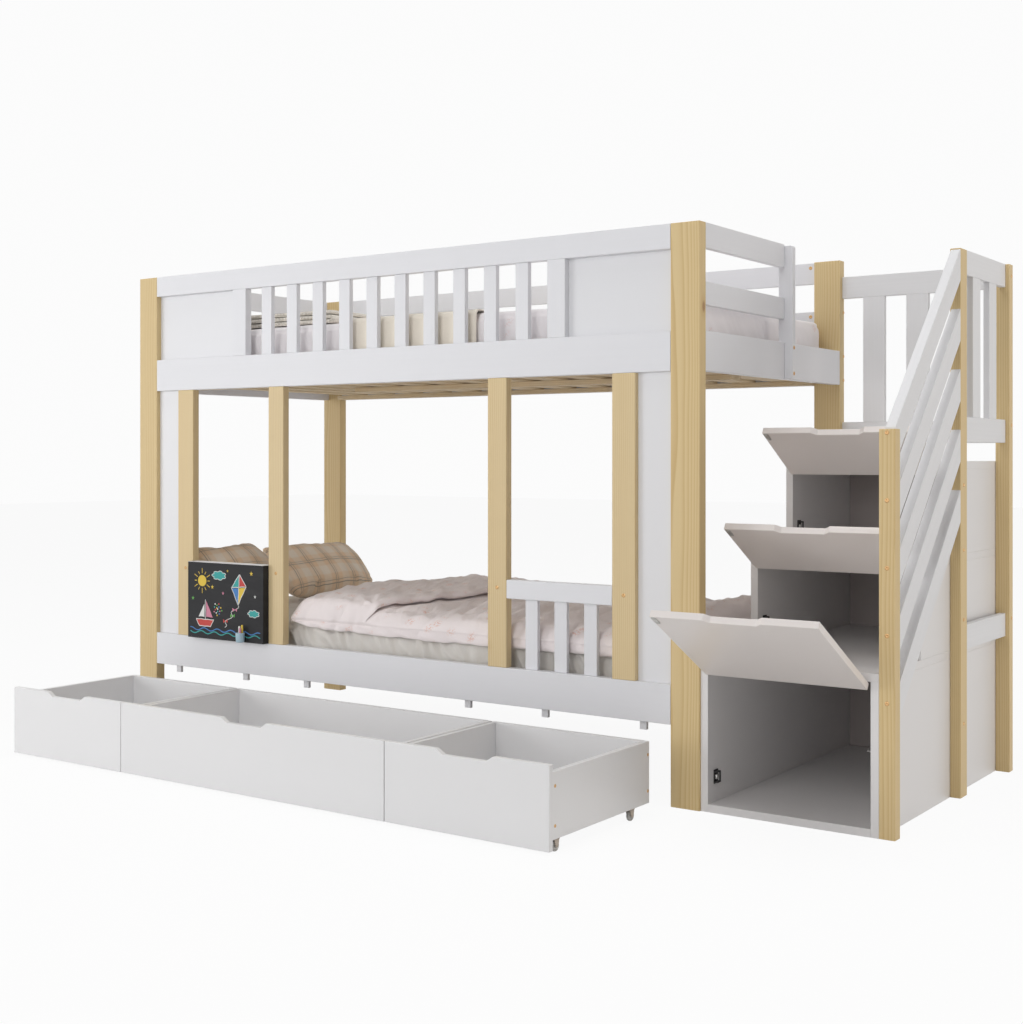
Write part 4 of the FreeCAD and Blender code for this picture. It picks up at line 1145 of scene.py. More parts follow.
@dataclass
class Drawers:
    """The three drawers with screws and casters."""

    joinery: Joinery
    screw: float = 0.0042
    wheel_radius: float = 0.0135
    wheel_half: float = 0.0045
    arm_inner: float = 0.0051
    arm_outer: float = 0.0066
    arm_steps: int = 12

    def build(self) -> None:
        """Dresses every drawer."""
        for side in ("left", "centre", "right"):
            name = side + "_drawer"
            self.joinery.dress(name + "_front", PAINT_DRAWER, 0.0016)
            self.joinery.dress(name + "_box", PAINT_DRAWER, 0.0008)
            self._screws(name)
            self._forks(name)
            for pair in ("front", "rear"):
                self._wheels(name, pair)

    def _screws(self, name: str) -> None:
        """Two bronze screws at each end of both side walls."""
        low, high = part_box(name + "_box")
        sketch = Sketch()
        for x, axis in ((low.x, "-x"), (high.x, "x")):
            for y in (low.y + 0.012, high.y - 0.0075):
                for z in (low.z + 0.031, high.z - 0.033):
                    bolt_head(sketch, np.array([x, y, z]), axis, self.screw)
        settle(sketch.mesh(name + "_screws"), BRONZE, name, slot="bolt_bronze")

    def _forks(self, name: str) -> None:
        """Caster brackets: a plate, two arms that narrow to a rounded foot, and the axle."""
        wheels = self._centres(name, "front") + self._centres(name, "rear")
        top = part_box(name + "_caster_forks")[1].z
        sketch = Sketch()
        for centre in wheels:
            x, y, z = centre
            reach = self.arm_outer
            sketch.block([x - reach, y - 0.012, top - 0.0022], [x + reach, y + 0.012, top], 0.0005)
            for side in (-1.0, 1.0):
                sketch.grid(self._arm(x, y, z, top, side), round_v=True)
            profile = np.array([[-0.0072, 0], [-0.0072, 0.0026], [-0.0066, 0.0030], [-0.0064, 0.0019],
                                [0.0064, 0.0019], [0.0066, 0.0030], [0.0072, 0.0026], [0.0072, 0]])
            sketch.lathe(profile, centre, "x", 16)
        piece = sketch.mesh(name + "_caster_brackets", smooth=False)
        settle(piece, CASTER_BRACKET, name, name + "_caster_forks")

    def _arm(self, x: float, y: float, z: float, top: float, side: float) -> np.ndarray:
        """One arm of a bracket: a square tube whose half width falls as s^1.5 and rounds off as
        the root of 1 - 0.55 s^6, closed at both ends.

        Args:
            x: the wheel's middle along X.
            y: the axle's place along Y.
            z: the axle's height.
            top: the height of the bracket's plate.
            side: -1 for the arm on the left and 1 for the one on the right.

        Returns:
            The arm's rings from the top down.
        """
        s = np.linspace(0, 1, self.arm_steps)
        half = 0.0095 - 0.0045 * s ** 1.5
        height = top - 0.001 + (z - 0.0035 - top + 0.001) * s
        inner, outer = x + side * self.arm_inner, x + side * self.arm_outer
        reach = half * np.sqrt(1 - 0.55 * s ** 6)
        tube = np.stack([
            np.column_stack([np.full(self.arm_steps, place), y + sign * reach, height])
            for place, sign in ((inner, -1), (outer, -1), (outer, 1), (inner, 1))
        ], 1)
        ends = [np.broadcast_to(tube[i].mean(0), tube[i].shape)[None] for i in (0, -1)]
        return np.concatenate([ends[0], tube, ends[1]])

    def _wheels(self, name: str, pair: str) -> None:
        """Wheels turned from a profile: rounded tread, thin web and a hub."""
        edge = np.linspace(-1, 1, 13)
        tread = np.column_stack([0.0042 * edge, self.wheel_radius - 0.0016 * np.abs(edge) ** 3])
        left = np.array([[-self.wheel_half, 0.0021], [-self.wheel_half, 0.0048], [-0.0024, 0.0056],
                         [-0.0022, 0.0092], [-0.0040, 0.0104]])
        right = left[::-1] * np.array([-1, 1])
        profile = np.concatenate([left, tread, right, left[:1]])
        sketch = Sketch()
        for centre in self._centres(name, pair):
            sketch.lathe(profile, centre, "x", 40)
        wheels = f"{name}_{pair}_wheels"
        piece = sketch.mesh(f"{name}_{pair}_caster_wheels")
        settle(piece, CASTER_WHEEL, f"{name}_{pair}_wheel_pair", wheels)

    def _centres(self, name: str, pair: str) -> list[np.ndarray]:
        """The centres of the two wheels of a pair."""
        low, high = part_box(f"{name}_{pair}_wheels")
        y, z = (low.y + high.y) / 2, (low.z + high.z) / 2
        half = self.wheel_half
        return [np.array([low.x + half, y, z]), np.array([high.x - half, y, z])]


BOLT_RADIUS = 0.0055


def bolt_head(sketch: Sketch, seat: np.ndarray, axis: str, radius: float) -> None:
    """A low domed bolt head with a sunk drive: one turned profile of (height, radius) pairs.

    Args:
        sketch: where the head is added.
        seat: the middle of the face that it sits on.
        axis: the way it faces.
        radius: its radius; the profile is drawn in millimetres for one of 5.5.
    """
    unit = radius / BOLT_RADIUS
    profile = np.array([[0, 0], [0, 5.5], [0.5, 5.5], [1.0, 4.9],
                        [1.4, 3.6], [1.5, 2.5], [0.5, 2.2], [0.4, 0]])
    sketch.lathe(profile * unit * 0.001, seat, axis, 20)


@dataclass
class Bolts:
    """The bolt heads on posts and guards."""

    def build(self) -> None:
        """Turns a domed head on the seat of each plain one, facing as it does."""
        source = frame["nodes"]["bolt_heads"].data
        work = bmesh.new()
        work.from_mesh(source)
        bmesh.ops.remove_doubles(work, verts=work.verts, dist=2e-5)
        sketch, left = Sketch(), set(work.verts)
        while left:
            head = island(min(left, key=lambda v: v.index))
            left -= head
            places = np.array([v.co for v in head])
            low, high = places.min(0), places.max(0)
            middle = (low + high) / 2
            if high[1] - low[1] < high[0] - low[0]:
                seat, axis = np.array([middle[0], high[1], middle[2]]), "-y"
            else:
                seat, axis = np.array([low[0], middle[1], middle[2]]), "x"
            bolt_head(sketch, seat, axis, BOLT_RADIUS)
        work.free()
        settle(sketch.mesh("bolt_caps"), BRONZE, ROOT, "bolt_heads")


# ---------------------------------------------------------------- chalkboard

class Tint(Enum):
    """The chalks in use on the board."""

    WHITE = (0.82, 0.82, 0.80)
    YELLOW = (0.80, 0.58, 0.10)
    TEAL = (0.08, 0.42, 0.40)
    BLUE = (0.10, 0.26, 0.58)
    RED = (0.62, 0.10, 0.09)
    PINK = (0.68, 0.28, 0.38)
    GREEN = (0.16, 0.44, 0.12)


@dataclass
class Chalkboard:
    """The board at the head of the lower bunk, its drawing and its cup of chalks.

    The drawing's origin, left and base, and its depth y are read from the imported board.
    """

    joinery: Joinery
    proud: float = 0.00035
    line: float = 0.0024
    left: float = 0.0
    base: float = 0.0
    y: float = 0.0

    def build(self) -> None:
        """Dresses the board, then draws and adds the cup."""
        self.joinery.dress("chalkboard", SLATE, 0.0012)
        low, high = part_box("chalkboard")
        self.left, self.base, self.y = low.x, low.z, low.y - self.proud
        cap_low = [low.x + 0.0004, low.y + 0.0003, high.z]
        cap = Sketch().block(cap_low, [high.x - 0.0004, high.y - 0.0003, high.z + 0.0014])
        settle(cap.mesh("chalkboard_top_edge", smooth=False), PAINT_TRIM, slot="frame_white")
        drawings: dict[Tint, Sketch] = {tint: Sketch() for tint in Tint}
        self._kite(drawings)
        self._sun(drawings)
        self._boat(drawings)
        self._sky(drawings)
        for tint, sketch in drawings.items():
            piece = sketch.mesh("chalk_drawing_" + tint.name.lower(), smooth=False)
            finish = Chalk("chalk_" + tint.name.lower(), tint.value)
            settle(piece, finish, slot="chalkboard_black")
        self._cup()

    def _on(self, path: np.ndarray) -> np.ndarray:
        """A path of millimetres from the board's lower left corner, in metres."""
        return path * 0.001 + np.array([self.left, self.base])

    @staticmethod
    def _oval(
        x: float, z: float, width: float, height: float, lumps: int = 0, depth: float = 0.0
    ) -> np.ndarray:
        """A closed oval whose radius is 1 + depth * |sin(lumps * t / 2)|.

        Args:
            x: its middle along the board, in millimetres.
            z: its middle up the board.
            width: half its width.
            height: half its height.
            lumps: the number of lumps round it.
            depth: the height of a lump as a share of the radius.

        Returns:
            The path, in millimetres.
        """
        t = np.linspace(0, 2 * math.pi, 72, endpoint=False)
        swell_by = 1.0 + depth * np.abs(np.sin(lumps * t / 2))
        return np.stack([x + width * swell_by * np.cos(t), z + height * swell_by * np.sin(t)], 1)

    @staticmethod
    def _through(corners: Sequence[tuple[float, float]], closed: bool = False) -> np.ndarray:
        """Points every few millimetres along straight runs, with a hand's slight wobble.

        Args:
            corners: the ends of the runs, in millimetres.
            closed: whether the last corner joins the first.

        Returns:
            The path, in millimetres.
        """
        ends = np.array(list(corners) + ([corners[0]] if closed else []), float)
        share = np.linspace(0, 1, 14, endpoint=False)[:, None]
        runs = [a + (b - a) * share for a, b in zip(ends[:-1], ends[1:])]
        path = np.concatenate(runs + ([] if closed else [ends[-1:]]))
        return path + 0.5 * np.sin(path[:, ::-1] * 0.21 + 1.0)

    def _kite(self, drawings: dict[Tint, Sketch]) -> None:
        """A kite with four coloured fields, a wavy tail x = a * sin(t) and bows."""
        top, right, foot, left = (232, 214), (262, 176), (226, 116), (198, 170)
        heart = (229, 172)
        for tint, corners in ((Tint.RED, (top, right, heart)), (Tint.YELLOW, (right, foot, heart)),
                              (Tint.BLUE, (foot, left, heart)), (Tint.TEAL, (left, top, heart))):
            path = self._through(corners, closed=True)
            drawings[tint].fan(self._on(path * 0.86 + path.mean(0) * 0.14), self.y)
        for corners in ((top, right, foot, left, top), (top, foot), (left, right)):
            drawings[Tint.WHITE].ribbon(self._on(self._through(corners)), self.line, self.y - 0.0001)
        t = np.linspace(0, 1, 90)
        tail = np.stack([226 - 64 * t + 9 * np.sin(15 * t), 116 - 74 * t], 1)
        drawings[Tint.WHITE].ribbon(self._on(tail), self.line * 0.8, self.y)
        for share, tint in ((0.22, Tint.PINK), (0.48, Tint.GREEN), (0.74, Tint.RED)):
            x, z = tail[int(share * 89)]
            for side in (-1, 1):
                bow = self._through(((x, z), (x + side * 10, z + 6), (x + side * 9, z - 6)), closed=True)
                drawings[tint].fan(self._on(bow), self.y - 0.0001)

    def _sun(self, drawings: dict[Tint, Sketch]) -> None:
        """A round sun with twelve rays."""
        drawings[Tint.YELLOW].fan(self._on(self._oval(66, 186, 19, 18)), self.y)
        for angle in np.arange(12) * math.pi / 6:
            way = np.array([math.cos(angle), math.sin(angle)])
            reach = 40.0 if round(angle * 6 / math.pi) % 2 else 34.0
            ray = np.array([[66, 186]]) + np.linspace(24, reach, 6)[:, None] * way
            drawings[Tint.YELLOW].ribbon(self._on(ray), self.line, self.y)

    def _boat(self, drawings: dict[Tint, Sketch]) -> None:
        """A sailing boat on two waves z = a * sin(k * x)."""
        hull = self._through(((38, 62), (118, 62), (104, 40), (54, 40)), closed=True)
        drawings[Tint.RED].fan(self._on(hull), self.y)
        drawings[Tint.WHITE].ribbon(self._on(hull), self.line, self.y - 0.0001, closed=True)
        mast = self._through(((80, 62), (80, 126)))
        drawings[Tint.WHITE].ribbon(self._on(mast), self.line, self.y)
        for tint, corners in ((Tint.PINK, ((84, 70), (84, 122), (114, 70))),
                              (Tint.WHITE, ((76, 70), (76, 112), (50, 70)))):
            drawings[tint].fan(self._on(self._through(corners, closed=True)), self.y)
        x = np.linspace(12, 322, 130)
        for level, tint, phase in ((30, Tint.BLUE, 0.0), (20, Tint.TEAL, 1.4)):
            sea = np.stack([x, level + 4.2 * np.sin(x / 9.5 + phase)], 1)
            drawings[tint].ribbon(self._on(sea), self.line * 1.3, self.y)

    def _sky(self, drawings: dict[Tint, Sketch]) -> None:
        """Two clouds, stars of ten corners and a cluster of dots."""
        for x, z, size in ((142, 206, 1.0), (294, 92, 0.8)):
            cloud = self._oval(x, z, 24 * size, 11 * size, 7, 0.34)
            drawings[Tint.TEAL].fan(self._on(cloud), self.y)
            drawings[Tint.WHITE].ribbon(self._on(cloud), self.line * 0.8, self.y - 0.0001, closed=True)
        turn = np.arange(10) * math.pi / 5 + math.pi / 2
        radius = np.where(np.arange(10) % 2, 0.42, 1.0)
        stars = ((112, 168, 7, Tint.YELLOW), (160, 150, 6, Tint.PINK), (284, 218, 8, Tint.YELLOW),
                 (300, 146, 6, Tint.WHITE), (24, 128, 7, Tint.GREEN), (180, 222, 5, Tint.YELLOW))
        for x, z, size, tint in stars:
            star = np.stack([x + size * radius * np.cos(turn), z + size * radius * np.sin(turn)], 1)
            drawings[tint].fan(self._on(star), self.y)
        tints = list(Tint)
        for number in range(16):
            angle, reach = number * 2.4, 5.2 * math.sqrt(number)
            x, z = 136 + reach * math.cos(angle), 98 + reach * math.sin(angle)
            dot = self._oval(x, z, 2.6, 2.6)
            drawings[tints[number % len(tints)]].fan(self._on(dot), self.y)

    def _cup(self) -> None:
        """A small cup against the board's lower edge, with three chalks standing in it."""
        centre = np.array([self.left + 0.250, self.y - 0.0150, self.base + 0.002])
        wall = np.array([[0.0, 0.0], [0.0, 0.0118], [0.0012, 0.0130], [0.028, 0.0148], [0.0295, 0.0148],
                         [0.0297, 0.0138], [0.028, 0.0132], [0.003, 0.0115], [0.002, 0.0]])
        cup = Sketch().lathe(wall, centre, "z", 32).mesh("chalk_cup")
        settle(cup, CHALK_CUP, slot="chalkboard_black")
        sticks = ((-0.005, 0.002, 0.046, Tint.WHITE), (0.004, -0.004, 0.041, Tint.PINK),
                  (0.005, 0.004, 0.050, Tint.YELLOW))
        for number, (dx, dy, height, tint) in enumerate(sticks):
            stick = np.array([[0.0, 0.0], [0.0, 0.0036], [height, 0.0033],
                              [height + 0.001, 0.0022], [height + 0.0012, 0.0]])
            turned = Sketch().lathe(stick, centre + np.array([dx, dy, 0.003]), "z", 16)
            finish = Chalk(f"chalk_stick_{tint.name.lower()}", tint.value)
            settle(turned.mesh(f"chalk_stick_{number + 1}"), finish, slot="chalkboard_black")


# ---------------------------------------------------------------- bedding

# The bed's left outer face and its posts' front faces lie this far on the minus side of the
# frame's origin, and MIDDLE is the bed's middle along Y.
LEFT_FACE = 0.0415
FRONT_FACE = 0.018
MIDDLE = 0.472


def measured(x: float, y: float, z: float) -> np.ndarray:
    """A point measured in millimetres from the bed's left outer face, front face and floor."""
    return np.array([x * 0.001 - LEFT_FACE, y * 0.001 - FRONT_FACE, z * 0.001])


def column(line: Sequence[Sequence[float]], index: int) -> np.ndarray:
    """One column of a measured line, in metres."""
    return np.array([row[index] for row in line]) * 0.001


def packed_box(node: str) -> tuple[np.ndarray, np.ndarray]:
    """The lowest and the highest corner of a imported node."""
    low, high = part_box(node)
    return np.array(low), np.array(high)


@dataclass
class Mattress:
    """A foam mattress in its cover."""

    node: str
    finish: Cloth
    gathers: float = 0.0
    corner: float = 0.026
    voxel: float = 0.015
    slack: float = 0.005
    gather_length: float = 0.052
    ripple: float = 0.0012
    tuft_depth: float = 0.0015
    seam_depth: float = 0.0022
    seam_inset: float = 0.020

    def build(self) -> None:
        """Swells a slightly small rounded block, then gathers its sides where the cover is loose.

        A gather moves a point along its normal by a * (sin(k * x + noise) - 0.7), which is mostly
        inwards, and fades out where the side rounds over to the top and the bottom.
        """
        low, high = packed_box(self.node)
        grow = self.slack
        piece = rounded_box(low + grow, high - grow, self.corner, 0.02).mesh(self.node + "_cover")
        swell(piece, self.voxel, 4.0, self.slack)
        subdivide(piece)
        points, out = coordinates(piece), normals(piece)
        middle = (low + high) / 2
        upright = 1.0 - step(np.abs(out[:, 2]), 0.45, 0.9)
        along = points[:, 0] + points[:, 1]
        phase = waves(points, 0.16, 5, 11)
        lean = 0.5 * points[:, 2]
        uneven = 0.6 + 0.4 * waves(points, 0.3, 5, 12)
        turns = (along + lean) * 2 * math.pi / self.gather_length
        gather = np.sin(turns + 2.2 * phase) * uneven
        move = self.gathers * upright * (gather - 0.7) + self.ripple * waves(points, 0.25, 7, 13)
        dimples = 0.5 + 0.5 * waves(points, 0.10, 6, 14, (1, 1, 0))
        tuft = -self.tuft_depth * (1 - upright) * dimples
        points += out * (np.minimum(move, 0.002) + tuft)[:, None]
        from_seam = np.abs(points[:, 2] - middle[2]) - (high - low)[2] / 2 + self.seam_inset
        seam = self.seam_depth * np.exp(-(from_seam / 0.004) ** 2)
        points -= out * (seam * upright)[:, None]
        reshape(piece, np.clip(points, low, high))
        settle(piece, self.finish, ROOT, self.node)


@dataclass
class Pillows:
    """Two plaid pillows that lean on the end of the lower bunk."""

    finish: Cloth
    widths: tuple[float, float] = (0.350, 0.480)
    leans: tuple[float, float] = (math.radians(38), math.radians(44))
    height: float = 0.262
    thick: float = 0.140
    cap: float = 0.013
    crease_length: float = 0.046
    crease_depth: float = 0.0022
    squash: float = 0.006

    def build(self) -> None:
        """Makes both pillows, which stand for the node, and hides the node."""
        low, high = packed_box("lower_pillows")
        front, rear = self.widths
        pieces = [
            self._pillow("front_pillow", low[1] + front / 2, front, self.leans[0], 21),
            self._pillow("rear_pillow", high[1] - rear / 2, rear, self.leans[1], 37),
        ]
        for piece in pieces:
            settle(piece, self.finish, ROOT, slot=SLOTS["lower_pillows"])
            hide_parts("lower_pillows")

    def _pillow(
        self, name: str, y: float, width: float, lean: float, seed: int
    ) -> bpy.types.Object:
        """One pillow: two skins of thickness T * ((1 - a^2)(1 - b^2))^0.42 over a square whose
        corners are rounded by x' = x * (1 - 0.10 * b^4) and z' = z * (1 - 0.06 * a^4), swollen,
        creased, bent, leaned and pressed flat where it stands on the mattress.

        Args:
            name: the piece's name.
            y: the place of its middle along Y.
            width: its width along Y.
            lean: the angle by which it leans back, in radians.
            seed: the seed of its creases.

        Returns:
            The piece, in its place.
        """
        low, high = packed_box("lower_pillows")
        a = np.sin(np.linspace(-math.pi / 2, math.pi / 2, 48))
        u, v = np.meshgrid(a, a, indexing="ij")
        half = 0.5 * np.array([width, self.height]) - 0.006
        x = half[0] * u * (1 - 0.10 * v ** 4)
        z = half[1] * v * (1 - 0.06 * u ** 4)
        depth = (self.thick / 2 - self.cap * 0.7) * ((1 - u ** 2) * (1 - v ** 2)) ** 0.42
        sketch = Sketch()
        for side in (-1.0, 1.0):
            sketch.grid(np.stack([side * depth, x, z], -1))
        piece = sketch.mesh(name)
        swell(piece, 0.006, 4.0, self.cap)
        points, out = coordinates(piece), normals(piece)
        rim = np.exp(-(np.abs(points[:, 0]) / 0.022) ** 2)
        turns = (points[:, 1] + points[:, 2]) * 2 * math.pi / self.crease_length
        crease = rim * np.sin(turns + 2 * waves(points, 0.1, 5, seed))
        sag = waves(points, 0.22, 6, seed + 1) * 0.006 + waves(points, 0.07, 8, seed + 2) * 0.0016
        points += out * (self.crease_depth * crease + sag * (1 - 0.7 * rim))[:, None]
        points[:, 0] += 0.016 * (points[:, 1] / half[0]) ** 2 - 0.01 * (points[:, 2] / half[1])
        cos, sin = math.cos(lean), math.sin(lean)
        x, y_own, z = points.T
        leaned = np.stack([cos * x - sin * z, y_own, sin * x + cos * z], 1)
        lowest, highest = leaned.min(0), leaned.max(0)
        middle = (lowest[1] + highest[1]) / 2
        leaned += np.array([high[0] - highest[0], y - middle, low[2] - lowest[2]])
        height = leaned[:, 2]
        pressed = low[2] + (height - low[2]) * 0.4
        leaned[:, 2] = np.where(height < low[2] + self.squash, pressed, height)
        reshape(piece, leaned)
        subdivide(piece)
        return piece


@dataclass
class Duvet:
    """The duvet on the lower bunk, its head folded back and its front edge hanging."""

    finish: Cloth
    lift: float = 0.0004
    stations: int = 330
    steps: int = 210
    fold: float = 0.027
    gap: float = 0.007
    tuck: float = 0.026
    roll: float = 0.048
    edge: float = 0.036
    over_rows: int = 130
    bend_rows: int = 11
    tuck_rows: int = 4
    end_share: float = 0.6

    def build(self) -> None:
        """Builds a closed shell: an outer skin over the crowned top, and a flat underside.

        A point is p(u, s): u runs from the folded head line to the foot, s runs over the cross
        section from the hanging hem up over the front edge, across the top and down at the back.
        """
        low, high = packed_box("lower_duvet")
        top = float(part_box("lower_mattress")[1].z) + self.lift
        front, inner, back = low[1], low[1] + 0.010, high[1]
        t = np.linspace(0, 1, self.steps)
        y = front + (back - front) * t ** 1.7
        round_edge = np.sqrt(1 - (1 - np.clip((y - front) / self.edge, 0, 1)) ** 2)
        rise = round_edge * (1 - step(t, 0.955, 1.0) * 0.9)
        head = np.interp(y, measured_y(HEAD_LINE), measured_x(HEAD_LINE))[None, :]
        hem = np.interp(y, measured_y(HEM_LINE), measured_x(HEM_LINE))[None, :]
        foot = high[0] - 0.0005
        x, layer = self._folded(head, hem, foot, rise[None, :])
        wide = np.broadcast_to(y[None, :], x.shape)
        ridge = self._height(x, wide, layer, head, foot) * rise[None, :]
        skin = np.stack([x, wide, top + ridge], -1)
        hang = self._hang(x[:, 0], front, top, ridge[:, 0])
        flat = np.maximum.accumulate(x, axis=0)[:, ::-12]
        under = np.stack([flat, wide[:, ::-12], np.full(flat.shape, top)], -1)
        under = under[:, under[0, :, 1] > inner + 0.004]
        lip = self._lip(x[:, 0], inner, top, hang)
        ring = np.concatenate([hang, skin[:, 1:], under, lip], 1)
        body = self._crease(ring, top, front)
        shell = np.concatenate([
            self._shrink(body[0], 0.0), self._shrink(body[0], self.end_share), body,
            self._shrink(body[-1], self.end_share), self._shrink(body[-1], 0.0),
        ])
        piece = Sketch().grid(shell, round_v=True).mesh("lower_duvet_cover")
        settle(piece, self.finish, ROOT, "lower_duvet")

    @staticmethod
    def _shrink(ring: np.ndarray, share: float) -> np.ndarray:
        """A ring drawn towards its middle, which closes an end; a share of 0 is the pole."""
        return (ring.mean(0) + (ring - ring.mean(0)) * share)[None]

    def _folded(self, head: np.ndarray, hem: np.ndarray, foot: float,
                rise: np.ndarray) -> tuple[np.ndarray, np.ndarray]:
        """Stations along the duvet, and the folded layer's height over each.

        The run goes from the head to the hem on the folded layer, round the hem by a half circle,
        back under it by the tuck, and from there along the lower layer to the foot.

        Args:
            head: the head line's place along X over each column.
            hem: the folded hem's place along X over each column.
            foot: the foot's place along X.
            rise: how much of its full height each column has.

        Returns:
            The places along X and the heights of the layer.
        """
        lower_rows = self.stations - self.over_rows - self.bend_rows - self.tuck_rows
        over = np.linspace(0, 1, self.over_rows)[:, None] ** 1.2
        bend = np.linspace(0, math.pi, self.bend_rows + 1)[1:, None]
        back = np.linspace(0, 1, self.tuck_rows + 1)[1:, None]
        rest = np.linspace(0, 1, lower_rows)[:, None]
        radius = (self.fold - self.gap) / 2 * rise
        inner = hem - self.tuck * rise
        x = np.concatenate([head + (hem - head) * over, hem + radius * np.sin(bend),
                            hem - self.tuck * rise * back, inner + (foot - inner) * rest])
        falling = self.gap + (self.fold - self.gap) * (1 + np.cos(bend)) / 2
        layer = np.concatenate([np.full(over.shape, self.fold), falling,
                                np.full(back.shape, self.gap), np.zeros(rest.shape)])
        return x, layer

    def _height(
        self, x: np.ndarray, y: np.ndarray, layer: np.ndarray, head: np.ndarray, foot: float
    ) -> np.ndarray:
        """Height over the mattress: a crown that grows to the back, the folded layer, a round roll
        sqrt(1 - (1 - d / r)^2) at the head and a bunched foot.

        Args:
            x: places along X.
            y: places along Y.
            layer: the folded layer's height.
            head: the head line's place along X over each column.
            foot: the foot's place along X.

        Returns:
            The height of each point over the mattress.
        """
        crown = np.interp(y, column(CROWN, 0) - FRONT_FACE, column(CROWN, 1))
        bunch_from, bunch_to = measured(0, 120, 0)[1], measured(0, 330, 0)[1]
        gather = 0.030 * step(x, foot - 0.19, foot - 0.05) * step(y, bunch_from, bunch_to)
        round_foot = np.sqrt(np.clip(1 - (1 - np.clip((foot - x) / 0.035, 0, 1)) ** 2, 0, 1))
        reach = np.clip((x - head) / self.roll, 0, 1)
        round_head = np.sqrt(np.clip(1 - (1 - reach) ** 2, 0, 1))
        return (crown + layer + gather) * round_head * (0.35 + 0.65 * round_foot)

    def _hang(self, x: np.ndarray, front: float, top: float, edge: np.ndarray) -> np.ndarray:
        """The hanging edge, from the hem up to the mattress's top: z = hem + (top - hem) * t.

        Args:
            x: the stations along X.
            front: the place of the duvet's front along Y.
            top: the height of the mattress's top.
            edge: the height of the upper skin over it at the front.

        Returns:
            The points, one row for each station.
        """
        hem = np.interp(x, measured_x(FALL), column(FALL, 1))
        hem = hem + 0.0016 * np.sin(x * 31) + 0.001 * np.sin(x * 97 + 1)
        t = np.linspace(0, 1, 20)
        z = hem[:, None] + (top + edge[:, None] - hem[:, None]) * t[None]
        wave = 0.0018 * np.sin(x[:, None] * 62 + 5 * t[None]) * (1 - t[None])
        y = front + 0.0022 + wave + 0.005 * (1 - t[None]) ** 6
        return np.stack([np.broadcast_to(x[:, None], z.shape), y, z], -1)

    @staticmethod
    def _lip(x: np.ndarray, inner: float, top: float, hang: np.ndarray) -> np.ndarray:
        """The inner side of the hanging edge, back down to its hem.

        Args:
            x: the stations along X.
            inner: the place of the inner side along Y.
            top: the height of the mattress's top.
            hang: the points of the hanging edge.

        Returns:
            The points, one row for each station.
        """
        t = np.linspace(0, 1, 8)
        low = hang[:, 0, 2] + 0.002
        z = top + (low[:, None] - top) * t[None]
        y = np.broadcast_to(inner - 0.0005 - 0.001 * t[None], z.shape)
        return np.stack([np.broadcast_to(x[:, None], z.shape), y, z], -1)

    @staticmethod
    def _crease(ring: np.ndarray, top: float, front: float) -> np.ndarray:
        """Creases: long soft waves, puffs |w| of slanted waves w, ridges that fan out from the hem's
        front tip, and a groove under the folded layer.

        The upper skin moves up by the sum, and the hanging front moves out by its puffs.

        Args:
            ring: the points of the closed cross sections.
            top: the height of the mattress's top.
            front: the place of the duvet's front along Y.

        Returns:
            The moved points.
        """
        tip = measured(975, 50, 449)
        away = ring - tip
        reach = np.hypot(away[..., 0], away[..., 1])
        angle = np.arctan2(away[..., 1], away[..., 0])
        ridges = np.sin(10 * angle + 1.4 * waves(ring, 0.4, 4, 5))
        fan = 0.0032 * np.exp(-reach / 0.30) * ridges * step(reach, 0.0, 0.05)
        x, y, z = (ring[..., axis] for axis in range(3))
        cos, sin = math.cos(math.radians(21)), math.sin(math.radians(21))
        turned = np.stack([cos * x + sin * y - 0.6 * z, cos * y - sin * x, z], -1)
        puffs = np.sqrt(waves(turned, 0.15, 9, 4, (1.5, 0.42, 0.2)) ** 2 + 0.01)
        plain = step(x, tip[0] - 0.02, tip[0] + 0.10)
        swells = 0.0055 * waves(ring, 0.42, 6, 3, (1, 1, 0.2))
        soft = swells + (0.0035 + 0.0065 * plain) * (puffs - 0.7)
        fine = 0.0022 * waves(turned, 0.052, 12, 6, (1.5, 0.5, 0.2))
        weight = step(z, top + 0.012, top + 0.045)
        moved = ring.copy()
        moved[..., 2] += (fan + soft + fine) * weight
        hanging = step(y, front + 0.030, front + 0.006) * step(z, top - 0.050, top - 0.010)
        under_fold = step(x, tip[0] + 0.01, tip[0] - 0.01)
        groove = 0.0045 * np.exp(-((z - top) / 0.004) ** 2) * under_fold
        out = 0.0048 * (puffs - 0.6) + 0.0014 * waves(ring, 0.08, 7, 8, (1, 0, 0.5)) - groove
        moved[..., 1] = np.clip(moved[..., 1] - hanging * out, front - 0.0028, None)
        return moved


def measured_x(line: Sequence[Sequence[float]]) -> np.ndarray:
    """The X places of a measured line, in metres."""
    return column(line, 0) - LEFT_FACE


def measured_y(line: Sequence[Sequence[float]]) -> np.ndarray:
    """The Y places of a measured line, in metres."""
    return column(line, 1) - FRONT_FACE


# Measured in millimetres: the head line and the folded hem as (x, y), the crown's height over the
# mattress as (y, z), and the lower edge of the hanging front as (x, z).
HEAD_LINE = ((655, 32), (640, 120), (632, 247), (654, 399), (698, 533), (703, 695), (735, 829),
             (742, 933))
HEM_LINE = ((952, 32), (975, 50), (980, 83), (997, 150), (1006, 214), (1033, 256), (1040, 354),
            (1071, 415), (1085, 933))
CROWN = ((32, 30), (50, 38), (130, 50), (247, 52), (399, 62), (560, 68), (830, 66), (933, 44))
FALL = ((640, 388), (667, 386), (700, 373), (835, 368), (950, 365), (1200, 362), (1804, 365),
        (2000, 365))


